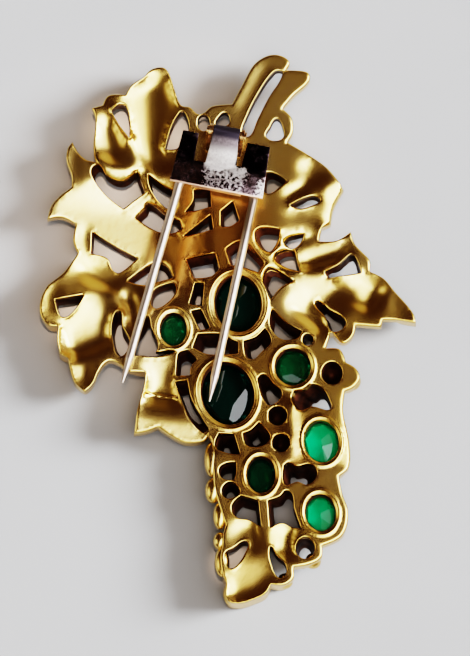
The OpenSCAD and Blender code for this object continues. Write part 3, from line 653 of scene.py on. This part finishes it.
def casting_mesh():
    """Worked sheets for back and front, joined by walls: the points, the faces, and the faces painted dark
    as shade.
    """
    holes = [smooth(table, HOLE_STEPS) for table in OPENINGS]
    holes += [oval(x, y, w * UNIT, h * UNIT) for x, y, w, h, closed in BEADS if not closed]
    rims = inside_out([smooth(table, STEPS) for table in LEAVES + [GRAPES]], holes)
    rims = sorted(rims, key=lambda loop: -np.ptp(loop[:, 0]))
    rims = [resample(loop, SPACING) for loop in rims if np.ptp(loop[:, 1]) > SLIVER]
    fronts = [narrowed(loop) for loop in rims]
    ledges = [stone_oval(row, 0)[::-1] for row in STONES]
    collars = [stone_oval(row, COLLAR_GAP)[::-1] for row in STONES]
    fine = [grid_points(rims + ledges, GRID, GRID_CLEAR)] + fine_rows(rims)
    coarse = [grid_points(fronts + collars, COARSE, COARSE_CLEAR)] + inset_rows(fronts, FRONT_ROWS)
    back, back_tris, back_loops = sheet_mesh(rims + ledges, np.vstack(fine))
    front, front_tris, front_loops = sheet_mesh(fronts + collars, np.vstack(coarse))
    back_z = back_heights(back, back_tris, *nearest_edge(back, rims))
    front_z = front_heights(front, front_tris, *nearest_edge(front, fronts))
    verts = [np.column_stack([back, back_z]), np.column_stack([front, front_z])]
    faces = back_tris.tolist() + (front_tris[:, ::-1] + len(back)).tolist()
    # Faces low in the cups and funnels get the dark painted shade
    low_back = (back_z[back_tris].min(1) < SHADED_BELOW_Z) & cupped(back[back_tris].mean(1))
    dull_and_shaded = np.flatnonzero(low_back).tolist()
    count = len(back) + len(front)
    for number, (top, bottom) in enumerate(zip(back_loops, front_loops)):
        upper, lower = verts[0][top], verts[1][bottom]
        if number < len(rims):
            between = [upper + (lower - upper) * share for share in WALL_RINGS]
        else:
            row = STONES[number - len(rims)]
            between = [np.column_stack([stone_oval(row, grow)[::-1], np.full(len(top), z)])
                       for grow, z in SEAT_RINGS]
        rings = [top]
        for line in between:
            verts.append(line)
            rings.append(list(range(count, count + len(line))))
            count += len(line)
        rings.append([i + len(back) for i in bottom])
        for level, (high, low) in enumerate(zip(rings, rings[1:])):
            # The walls of the openings below their top ring get the dark painted shade
            if number and level:
                dull_and_shaded += range(len(faces), len(faces) + len(high))
            faces += [[high[k], low[k], low[(k + 1) % len(high)], high[(k + 1) % len(high)]]
                      for k in range(len(high))]
    for row in BUDS:
        at, bead_faces = bead(*row)
        verts.append(at)
        faces += [[i + count for i in face] for face in bead_faces]
        count += len(at)
    return np.vstack(verts), faces, dull_and_shaded


def put(name, data, matrix=Matrix()):
    """A new object in the scene."""
    made = bpy.data.objects.new(name, data)
    bpy.context.scene.collection.objects.link(made)
    made.matrix_world = matrix
    return made


def make_object(name, verts, faces, materials, shade_smooth=True, second_faces=()):
    """A mesh object from vertices in mm, with its second material on some faces."""
    mesh = bpy.data.meshes.new(name)
    mesh.from_pydata((np.array(verts) * MM).tolist(), [], [list(map(int, f)) for f in faces])
    mesh.polygons.foreach_set("use_smooth", [shade_smooth] * len(mesh.polygons))
    for material in materials:
        mesh.materials.append(material)
    marks = np.zeros(len(mesh.polygons), np.int32)
    marks[list(second_faces)] = 1
    mesh.polygons.foreach_set("material_index", marks)
    cleaner = bmesh.new()
    cleaner.from_mesh(mesh)
    loose = [v for v in cleaner.verts if not v.link_faces]
    bmesh.ops.delete(cleaner, geom=loose, context="VERTS")
    cleaner.to_mesh(mesh)
    cleaner.free()
    return put(name, mesh)


def join_rings(made, a, b):
    """Faces between two rings of vertices."""
    for k in range(AROUND):
        n = (k + 1) % AROUND
        made.faces.new((a[k], a[n], b[n], b[k]))


def taken_out(made):
    """The points and faces of a working mesh, which is freed."""
    made.verts.index_update()
    points = [v.co[:] for v in made.verts]
    faces = [[v.index for v in face.verts] for face in made.faces]
    made.free()
    return points, faces


# Vertices round a stone's blank and round the plate's barrel
AROUND = 48
# How far a stone reaches under its setting's ledge in mm
TUCKED = 0.3

# Cut stones: [first main facet's azimuth, its tilt, mains round the back, shade of glass,
# tilt of the flat facets on top and how far in from the girdle they start in mm,
# then single cuts: azimuth, tilt, how far in]
CUTS = [
    (20, 38, 8, "clear", 7, 0.85, (-35, 17, 0.75), (120, 12, 0.6)),
    (12, 42, 9, "dark", 4, 1.1, (110, 9, 0.8)),
    (30, 38, 8, "middle", 7, 0.9, (-100, 16, 0.55), (60, 12, 0.7)),
    (-34, 42, 9, "dark", 5, 1.1, (-42, 17, 0.48)),
    (50, 40, 8, "bright", 10, 0.6, (-30, 13, 0.45)),
    (0, 38, 10, "deep", 6, 0.8, (90, 12, 0.7), (-90, 6, 0.7)),
    (35, 40, 8, "bright", 9, 0.6)]
# How far over the girdle the mains start in mm, then the cuts between them: [steeper by, how far in,
# how far over it], then how many tops there are and their turn from the first main
MAIN_RISE = 0.12
BREAKS = (10, -0.04, 0.1)
TOPS, TOP_TURN = 6, 14
# Rings of cuts under the girdle: [how many, turn from the first main, tilt, how far in, how far over it]
LOWER_CUTS = [(16, 0, 52, -0.05, -0.1), (8, 11.25, 40, 0, -0.35)]


def facet_plane(half_w, half_h, azimuth, tilt, inward, rise):
    """A plane that meets an oval girdle's level at a height over it or under it, leaning in by its tilt."""
    a, t = math.radians(azimuth), math.radians(tilt)
    reach = math.hypot(half_w * math.cos(a), half_h * math.sin(a))
    point = (half_w**2 * math.cos(a) / reach, half_h**2 * math.sin(a) / reach)
    point = (point[0] - inward * math.cos(a), point[1] - inward * math.sin(a), GIRDLE_Z + rise)
    return point, (math.sin(t) * math.cos(a), math.sin(t) * math.sin(a), math.copysign(math.cos(t), rise))


def facets(first, tilt, mains, _, top_tilt, top_in, *extra):
    """A stone's cuts in order: [azimuth, tilt, how far in from the girdle, how far over it]."""
    cuts = [(first + k * 360 / mains, tilt, 0, MAIN_RISE) for k in range(mains)]
    steeper, inward, rise = BREAKS
    cuts += [(first + (k + 0.5) * 180 / mains, tilt + steeper, inward, rise) for k in range(2 * mains)]
    tops = [(first + TOP_TURN + k * 360 / TOPS, top_tilt, top_in) for k in range(TOPS)]
    cuts += [(azimuth, lean, inward, MAIN_RISE + inward * math.tan(math.radians(tilt)))
             for azimuth, lean, inward in (*tops, *extra)]
    cuts += [(first + turn + k * 360 / count, lean, inward, rise)
             for count, turn, lean, inward, rise in LOWER_CUTS for k in range(count)]
    return cuts


def cut_stone(row, plan):
    """One faceted stone, table down, ground plane by plane from an oval blank: vertices in mm, faces."""
    x, y, half_w, half_h, _, _, turn = row
    half_w, half_h = half_w * UNIT + TUCKED, half_h * UNIT + TUCKED
    gem = bmesh.new()
    low, high = ([gem.verts.new((half_w * c, half_h * s, z)) for c, s in ring(AROUND)]
                 for z in (TABLE_Z, KEEL_Z))
    gem.faces.new(low[::-1])
    gem.faces.new(high)
    join_rings(gem, low, high)
    for facet in facets(*plan):
        point, normal = facet_plane(half_w, half_h, *facet)
        made = bmesh.ops.bisect_plane(gem, geom=gem.verts[:] + gem.edges[:] + gem.faces[:], plane_co=point,
                                      plane_no=normal, clear_outer=True, dist=1e-6)
        edge = [e for e in made["geom_cut"] if isinstance(e, bmesh.types.BMEdge)]
        if len(edge) > 2:
            bmesh.ops.contextual_create(gem, geom=edge)
    bmesh.ops.dissolve_limit(gem, angle_limit=math.radians(0.5), verts=gem.verts[:], edges=gem.edges[:])
    bmesh.ops.recalc_face_normals(gem, faces=gem.faces[:])
    px, py = place(x, y)
    c, s = math.cos(math.radians(turn)), math.sin(math.radians(turn))
    points, faces = taken_out(gem)
    return [(px + u * c - v * s, py + u * s + v * c, z) for u, v, z in points], faces


# Colours: [red, green, blue], linear
TINTS = {
    # The third gold is painted shade in the middle, under the clip
    "gold": (0.85, 0.62, 0.25), "warm gold": (0.81, 0.55, 0.18), "worn gold": (0.76, 0.38, 0.10),
    # The recess colours are painted shade in the openings and cups
    "tarnish": (0.52, 0.27, 0.07), "recess": (0.03, 0.012, 0.008), "lit recess": (0.09, 0.032, 0.014),
    "black plate": (0.012, 0.006, 0.009), "dark plate": (0.12, 0.085, 0.10),
    # The palest plate colour is a painted highlight, and the next one is painted shade at the tongue's top
    "stipple": (0.40, 0.31, 0.34), "bare plate": (0.95, 0.92, 0.90), "dull plate": (0.26, 0.22, 0.24),
    "speck": (0.5, 0.45, 0.46), "barrel": (0.08, 0.068, 0.09), "lit edge": (1.0, 0.72, 0.58),
    # The last colour here is a painted dark reflection line on the prongs; the next line's first, painted
    # shade
    "wire": (0.86, 0.77, 0.72), "grey wire": (0.76, 0.67, 0.62), "groove": (0.32, 0.25, 0.23),
    "wire root": (0.30, 0.24, 0.20), "hinge": (0.74, 0.52, 0.28), "brown hinge": (0.34, 0.17, 0.08),
    "floor": (0.122, 0.125, 0.129), "light floor": (0.127, 0.130, 0.134)}


class Nodes:
    """Adds the shader nodes of a material or of the world."""

    def __init__(self, tree, coords):
        self.tree = tree
        self.coords = self.add("TexCoord").outputs[coords]

    def add(self, kind, inputs=(), **settings):
        made = self.tree.nodes.new("ShaderNode" + kind)
        for key, value in settings.items():
            setattr(made, key, value)
        for key, value in dict(inputs).items():
            if isinstance(value, bpy.types.NodeSocket):
                self.tree.links.new(value, made.inputs[key])
            else:
                made.inputs[key].default_value = value
        return made

    def noise(self, scale, detail, rough=0.5):
        inputs = {"Vector": self.coords, "Scale": scale, "Detail": detail, "Roughness": rough}
        return self.add("TexNoise", inputs).outputs["Fac"]

    def spread(self, value, low, high, to_low=0.0, to_high=1.0):
        inputs = {"Value": value, "From Min": low, "From Max": high, "To Min": to_low, "To Max": to_high}
        return self.add("MapRange", inputs, interpolation_type="SMOOTHSTEP").outputs["Result"]

    def patches(self, scale, detail, low=0.35, high=0.7, *levels):
        """Soft patches of noise."""
        return self.spread(self.noise(scale, detail), low, high, *levels)

    def band(self, value, low, high, soft):
        """1 between two values, fading out past them."""
        rise = self.spread(value, low - soft, low + soft)
        return self.math("MULTIPLY", rise, self.spread(value, high - soft, high + soft, 1.0, 0.0))

    def math(self, operation, a, b=0.0):
        return self.add("Math", {0: a, 1: b}, operation=operation).outputs[0]

    def vector(self, operation, a, b, output="Value"):
        return self.add("VectorMath", {0: a, 1: b}, operation=operation).outputs[output]

    def mix(self, share, *colours):
        """A blend of two colours, each a socket or the name of a tint."""
        a, b = ((*TINTS[colour], 1) if isinstance(colour, str) else colour for colour in colours)
        return self.add("Mix", {0: share, 6: a, 7: b}, data_type="RGBA").outputs[2]

    def near(self, x, y, radius):
        """1 at a point of the drawing, falling to 0 at a radius in mm."""
        px, py = place(x, y)
        flat = self.vector("MULTIPLY", self.coords, (1, 1, 0), "Vector")
        away = self.vector("DISTANCE", flat, (px * MM, py * MM, 0))
        return self.spread(away, radius * MM * 0.35, radius * MM, 1.0, 0.0)


class Finish(Nodes):
    """Builds one procedural material on the principled shader."""

    def __init__(self, name, **sockets):
        self.material = bpy.data.materials.new(name)
        self.material.use_nodes = True
        super().__init__(self.material.node_tree, "Object")
        self.shader = self.tree.nodes["Principled BSDF"]
        for key, value in sockets.items():
            self.shader.inputs[key.replace("_", " ")].default_value = value

    def link(self, key, socket):
        self.tree.links.new(socket, self.shader.inputs[key])

    def bump(self, height, strength, distance):
        made = self.add("Bump", {"Height": height, "Strength": strength, "Distance": distance})
        self.link("Normal", made.outputs["Normal"])


# Painted shade, darker and redder, in the middle under the clip; darker, redder gold over the grapes; and
# painted
# shade on a prong by the plate: [x, y, radius in mm]
SHADED_MIDDLE = (207, 225, 12)
DARKER_GRAPES = ((235, 370, 12), (270, 450, 13))
SHADED_WIRE_ROOT = (253, 212, 7)


def gilt():
    """Gilt casting: warm gold, darker and redder under the clip as painted shade, and over the grapes."""
    m = Finish("gilt_metal", Metallic=1.0, Roughness=0.26, Coat_Weight=0.2, Coat_Roughness=0.12)
    blotch = m.noise(260, 4)
    # Painted shade: the middle under the clip is darker and redder, in blotches
    worn = m.math("MULTIPLY", m.near(*SHADED_MIDDLE), m.spread(blotch, 0.2, 0.8, 0.6, 1.0))
    grapes = m.math("MAXIMUM", *(m.near(*row) for row in DARKER_GRAPES))
    # Darker, redder gold over the grapes, in blotches
    tarnish = m.math("MULTIPLY", grapes, m.spread(blotch, 0.3, 0.65, 0.1, 0.75))
    colour = m.mix(worn, m.mix(m.patches(90, 3), "gold", "warm gold"), "worn gold")
    m.link("Base Color", m.mix(tarnish, colour, "tarnish"))
    cast = m.math("MULTIPLY", m.noise(900, 4, 0.6), m.spread(grapes, 0.0, 1.0, 0.35, 1.0))
    m.bump(cast, 0.24, 0.00014)
    return m.material


def recess():
    """The inside of the openings and cups: dark colour painted in as shade, and rough where the polish
    doesn't reach.
    """
    m = Finish("gilt_painted_shade", Metallic=0.85)
    m.link("Base Color", m.mix(m.patches(700, 3), "recess", "lit recess"))
    m.link("Roughness", m.patches(500, 3, 0.3, 0.7, 0.45, 0.7))
    return m.material


# Shades of glass: [red, green, blue], linear, and the share of each in its darker streaks
GLASS = {"dark": (0.002, 0.026, 0.019), "deep": (0.007, 0.12, 0.055), "middle": (0.008, 0.15, 0.06),
         "clear": (0.008, 0.17, 0.075), "bright": (0.0, 0.2, 0.085)}
STREAK = (0.8, 0.82, 0.85)


def glass(shade):
    """Green glass: the dark stones are seen into, and the bright ones throw the light back."""
    see_through, rough = (0.12, 0.08) if shade == "bright" else (0.85, 0.03)
    m = Finish("glass_" + shade, IOR=1.55, Roughness=rough, Transmission_Weight=see_through)
    streak = [level * share for level, share in zip(GLASS[shade], STREAK)]
    m.link("Base Color", m.mix(m.patches(380, 2), (*GLASS[shade], 1), (*streak, 1)))
    return m.material


def sheet_metal():
    """Plated sheet: near black wings; a tongue painted pale as a highlight, fading into the stippled band
    and darkening to painted shade towards its top; painted highlights in the band's middle and right
    corner;
    a bright lower edge.

    x and y are in mm on the plate.
    """
    m = Finish("plated_sheet", Metallic=1.0)
    parts = m.add("SeparateXYZ", {0: m.coords})
    x, y = (m.math("MULTIPLY", parts.outputs[k], 1 / MM) for k in (0, 1))
    speck = m.noise(2600, 2, 0.7)
    blotch = m.noise(620, 4, 0.65)

    def stippled(share):
        return m.spread(m.math("ADD", share, speck), 0.8, 1.15)

    colour = m.mix(m.spread(blotch, 0.45, 0.75), "black plate", "dark plate")
    colour = m.mix(stippled(m.spread(y, 2.4, 4.6, 0.52, 0.0)), colour, "stipple")
    # The band's middle and its lower right corner are painted pale as highlights, stippled; so is the
    # tongue
    middle = m.math("MULTIPLY", m.band(x, -2.6, 4.2, 1.2), m.spread(y, 0.8, 3.4, 0.4, 0.58))
    middle = m.math("MULTIPLY", middle, m.spread(y, 3.6, 4.4, 1.0, 0.0))
    corner = m.math("MULTIPLY", m.spread(x, 4.2, 6.0), m.spread(y, 1.8, 3.8, 0.52, 0.0))
    tongue = m.math("MULTIPLY", m.band(x, -2.4, 1.9, 0.15), m.spread(y, 2.2, 3.6))
    painted_highlight = m.math("MAXIMUM", tongue, stippled(m.math("MAXIMUM", middle, corner)))
    # The tongue's pale colour is a painted highlight, turning to painted shade towards its top
    tongue_lit_and_shaded = m.mix(m.spread(y, 5.0, 6.8), "bare plate", "dull plate")
    colour = m.mix(painted_highlight, colour, m.mix(m.spread(speck, 0.3, 0.75, 0.0, 0.5), tongue_lit_and_shaded, "speck"))
    colour = m.mix(m.math("MULTIPLY", m.spread(y, 7.1, 7.9), m.band(x, -2.4, 2.0, 0.1)), colour, "barrel")
    edge = m.spread(y, 0.1, 0.3, 1.0, 0.0)
    m.link("Base Color", m.mix(edge, colour, "lit edge"))
    worn = m.math("MULTIPLY", m.math("MAXIMUM", painted_highlight, edge), 0.32)
    m.link("Roughness", m.math("ADD", worn, m.spread(blotch, 0.3, 0.7, 0.16, 0.3)))
    m.bump(speck, 0.25, 0.00006)
    return m.material


# A painted dark reflection line along each prong: [x, y in mm of a point on the prong's middle line, the
# line's direction in x and y, how far to the right of it the painted line lies in mm]
REFLECTION_LINES = [(-10.32, 7.55, -0.271, -0.963, -0.17), (0.87, 5.11, -0.211, -0.977, -0.1)]


def steel():
    """Polished wire, with a painted dark reflection line along each prong and painted shade on one by the
    plate.
    """
    m = Finish("steel_wire", Metallic=1.0, Roughness=0.42)
    colour = m.mix(m.patches(220, 2), "wire", "grey wire")
    # A painted dark reflection line along each prong
    for x, y, along_x, along_y, aside in REFLECTION_LINES:
        away = m.vector("DOT_PRODUCT", m.coords, (-along_y / MM, along_x / MM, 0))
        away = m.math("SUBTRACT", away, x * -along_y + y * along_x + aside)
        colour = m.mix(m.spread(m.math("ABSOLUTE", away), 0.05, 0.17, 0.6, 0.0), colour, "groove")
    # Painted shade on the prong by the plate
    m.link("Base Color", m.mix(m.near(*SHADED_WIRE_ROOT), colour, "wire root"))
    return m.material


def hinge_metal():
    m = Finish("hinge_metal", Metallic=1.0)
    m.link("Base Color", m.mix(m.patches(800, 3), "hinge", "brown hinge"))
    m.link("Roughness", m.patches(600, 3, 0.3, 0.7, 0.2, 0.35))
    return m.material


# The clip's own frame, as in the part: x along the plate, y up it from its lower edge, in mm
CLIP_AT = (-1.64, 19.0)
CLIP_TURN = math.radians(-11.5)
AXIS_Y, AXIS_Z, BARREL_R, PIN_ROOM = 8.35, 7.6, 0.95, 0.5
BARREL_X = (-2.07, 1.66)
BARREL_EASE = 0.08
SHEET_T = 0.5
SHEET_EASE = 0.09
SHEET = [(-6.64, 0), (6.64, 0), (6.2, 7.43), (2.96, 7.43), (2.85, 3.9), (2.13, 3.9), (1.66, 7.4),
         (1.66, 8.35), (-2.07, 8.35), (-2.07, 7.4), (-2.26, 3.5), (-3.9, 3.5), (-3.99, 7.43),
         (-6.2, 7.43)]
# The two lips under the band: their half length, lower edges and thickness, and the bar's size and room
LIP_X = 3.5
LIP_Y = (0.0, 1.8)
LIP_T = (0.02, 0.4)
BAR_R = 0.6
BAR_ROOM = 0.1


def clip_plate(material):
    """The clip's sheet with eased edges, its rolled barrel, and the two lips that hold the fork's bar."""
    under = AXIS_Z + BARREL_R - SHEET_T
    made = bmesh.new()
    face = made.faces.new([made.verts.new((x, y, under)) for x, y in SHEET])
    lifted = bmesh.ops.extrude_face_region(made, geom=[face])["geom"]
    lifted = [v for v in lifted if isinstance(v, bmesh.types.BMVert)]
    bmesh.ops.translate(made, vec=(0, 0, SHEET_T), verts=lifted)
    lip_z = (under - BAR_ROOM - 2 * BAR_R, under + BAR_ROOM)
    for y in LIP_Y:
        corners = [(x, y + dy, z) for x in (-LIP_X, LIP_X) for dy in LIP_T for z in lip_z]
        bmesh.ops.convex_hull(made, input=[made.verts.new(corner) for corner in corners])
    bmesh.ops.recalc_face_normals(made, faces=made.faces[:])
    sharp = [e for e in made.edges if len(e.link_faces) == 2 and e.calc_face_angle() > 0.5]
    bmesh.ops.bevel(made, geom=sharp, offset=SHEET_EASE, segments=3, profile=0.5, affect="EDGES",
                    clamp_overlap=True)
    left, right = BARREL_X
    profile = [(left, PIN_ROOM), (left, BARREL_R - BARREL_EASE), (left + BARREL_EASE, BARREL_R),
               (right - BARREL_EASE, BARREL_R), (right, BARREL_R - BARREL_EASE), (right, PIN_ROOM)]
    rings = [[made.verts.new((x, AXIS_Y + radius * c, AXIS_Z + radius * s)) for c, s in ring(AROUND)]
             for x, radius in profile]
    for a, b in zip(rings, rings[1:] + rings[:1]):
        join_rings(made, a, b)
    plate = make_object("formed_plate", *taken_out(made), [material])
    plate.data.set_sharp_from_angle(angle=math.radians(40))
    shift = Matrix.Translation((CLIP_AT[0] * MM, CLIP_AT[1] * MM, 0))
    plate.matrix_world = shift @ Matrix.Rotation(CLIP_TURN, 4, "Z")
    return plate


# The soft boxes: [azimuth from +X towards +Y, height above the floor, inner and outer half angle, level]
BOXES = [(0, 50, 18, 28, 3.2), (-70, 58, 14, 24, 3.0), (-35, 57, 12, 26, 2.6), (12, 32, 8, 16, 9.0),
         (5, 14, 8, 26, 0.6), (184, 26, 8, 26, 1.5), (-95, 34, 10, 30, 1.2), (60, 16, 8, 28, 0.6)]
# The room's own level, and the light's tone from that level up: [level, colour]
ROOM = 0.055
TONE_TOP = 4.0
TONES = [(0.06, (1.0, 0.47, 0.22)), (0.25, (1.0, 0.68, 0.34)), (0.7, (0.98, 0.88, 0.52)),
         (2.0, (0.96, 0.97, 1.0))]
# Lamps for the floor alone, not mirrored in the metal: [name, azimuth, height, spread, level, colour]
LAMPS = [("side_lamp", 8, 25, 24, 25.4, (0.96, 0.98, 1.0)),
         ("top_lamp", -90, 84, 36, 3.0, (1.0, 0.84, 0.72))]
# Small warm lamps for the floor that shows in the openings: [x, y, reach and softness in mm, power]
SPOTS = [(172, 228, 15.5, 20, 34.0), (118, 122, 3.2, 3, 44.0), (177, 130, 3.0, 3, 26.0),
         (116, 190, 4.5, 3, 13.0), (112, 253, 3.6, 3, 20.0), (70, 306, 2.6, 3, 26.0),
         (303, 203, 2.6, 3, 30.0), (290, 243, 3.6, 3, 20.0), (232, 557, 1.3, 1, 16.0),
         (120, 338, 3.0, 3, 9.0)]
SPOT_UP = 0.4
SPOT_BLEND = 0.6
SPOT_COLOUR = (1.0, 0.70, 0.50)
# The camera: its sensor and lens in mm, its distance and range in metres, and where it looks in mm
SENSOR = 36
LENS = 784
CAMERA_AWAY = 2
CAMERA_RANGE = (0.05, 5)
TARGET = (1.008, -0.07, 5.0)
EXPOSURE = -0.08
# The floor's half width in metres, so wide that it fills the lower half of a view level with it
FAR = 30


def direction(azimuth, height):
    """The unit vector towards an azimuth and a height above the floor."""
    a, h = math.radians(azimuth), math.radians(height)
    return Vector((math.cos(a) * math.cos(h), math.sin(a) * math.cos(h), math.sin(h)))


def studio():
    """The world: a dim room with soft boxes, and the part of it round the camera darkest."""
    world = bpy.data.worlds.new("studio")
    bpy.context.scene.world = world
    world.use_nodes = True
    world.node_tree.nodes.clear()
    sky = Nodes(world.node_tree, "Generated")
    total = 0.0
    for azimuth, height, inner, outer, level in BOXES:
        towards = sky.vector("DOT_PRODUCT", sky.coords, direction(azimuth, height))
        inner, outer = math.cos(math.radians(inner)), math.cos(math.radians(outer))
        total = sky.math("ADD", total, sky.spread(towards, outer, inner, 0, level))
    level = sky.math("ADD", total, ROOM)
    tone = sky.add("ValToRGB", {0: sky.math("DIVIDE", level, TONE_TOP)})
    stops = tone.color_ramp.elements
    while len(stops) < len(TONES):
        stops.new(0.5)
    for stop, (at, colour) in zip(stops, TONES):
        stop.position = at / TONE_TOP
        stop.color = (*colour, 1)
    light = sky.add("Background", {"Color": tone.outputs["Color"], "Strength": level})
    sky.add("OutputWorld", {"Surface": light.outputs[0]})


def hang(name, data, matrix):
    """A lamp that lights the floor alone and isn't mirrored in the metal."""
    lamp = put(name, data, matrix)
    lamp.visible_glossy = False
    lamp.visible_transmission = False


def lamps():
    """A low lamp from the right throws the soft shadows. Those above light the floor in the openings."""
    for name, azimuth, height, spread, level, colour in LAMPS:
        data = bpy.data.lights.new(name, "SUN")
        data.energy, data.angle, data.color = level, math.radians(spread), colour
        hang(name, data, direction(azimuth, height).to_track_quat("Z", "Y").to_matrix().to_4x4())
    for x, y, reach, softness, power in SPOTS:
        data = bpy.data.lights.new("opening_lamp", "SPOT")
        data.energy, data.color = power, SPOT_COLOUR
        data.spot_size, data.spot_blend = 2 * math.atan(reach * MM / SPOT_UP), SPOT_BLEND
        data.shadow_soft_size = softness * MM
        px, py = place(x, y)
        hang("opening_lamp", data, Matrix.Translation((px * MM, py * MM, SPOT_UP)))


def camera():
    data = bpy.data.cameras.new("camera")
    data.sensor_width = SENSOR
    data.lens = LENS
    data.clip_start, data.clip_end = CAMERA_RANGE
    back = Vector((0, -math.sin(LEAN), math.cos(LEAN)))
    up = Vector((0, math.cos(LEAN), math.sin(LEAN)))
    turn = Matrix(((1, 0, 0), up, back)).transposed().to_4x4()
    at = Matrix.Translation(Vector(TARGET) * MM + back * CAMERA_AWAY)
    bpy.context.scene.camera = put("camera", data, at @ turn)


def floor():
    finish = Finish("plain_floor", Roughness=0.75)
    finish.link("Base Color", finish.mix(finish.patches(18, 2, 0.3, 0.7), "floor", "light floor"))
    mesh = bpy.data.meshes.new("floor")
    mesh.from_pydata([(-FAR, -FAR, 0), (FAR, -FAR, 0), (FAR, FAR, 0), (-FAR, FAR, 0)], [], [(0, 1, 2, 3)])
    mesh.materials.append(finish.material)
    put("floor", mesh)


verts, faces, dull_and_shaded = casting_mesh()
casting = make_object("worked_casting", verts, faces, [gilt(), recess()], second_faces=dull_and_shaded)
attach(casting, "brooch")
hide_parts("casting")

glasses = {shade: glass(shade) for shade in GLASS}
for number, (row, plan) in enumerate(zip(STONES, CUTS), 1):
    finish = glasses[plan[3]]
    stone = make_object(f"faceted_stone_{number}", *cut_stone(row, plan), [finish], shade_smooth=False)
    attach(stone, "brooch")
    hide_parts(f"stone_{number}")

plate = clip_plate(sheet_metal())
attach(plate, "prongs")
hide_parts("clip_plate")
for node, finish in (("prong_fork", steel()), ("hinge_base", hinge_metal()), ("hinge_pin", hinge_metal())):
    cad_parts[node].data.materials.clear()
    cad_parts[node].data.materials.append(finish)

studio()
lamps()
camera()
floor()
view = bpy.context.scene.view_settings
view.view_transform = "Filmic"
view.look = "Very High Contrast"
view.exposure = EXPOSURE
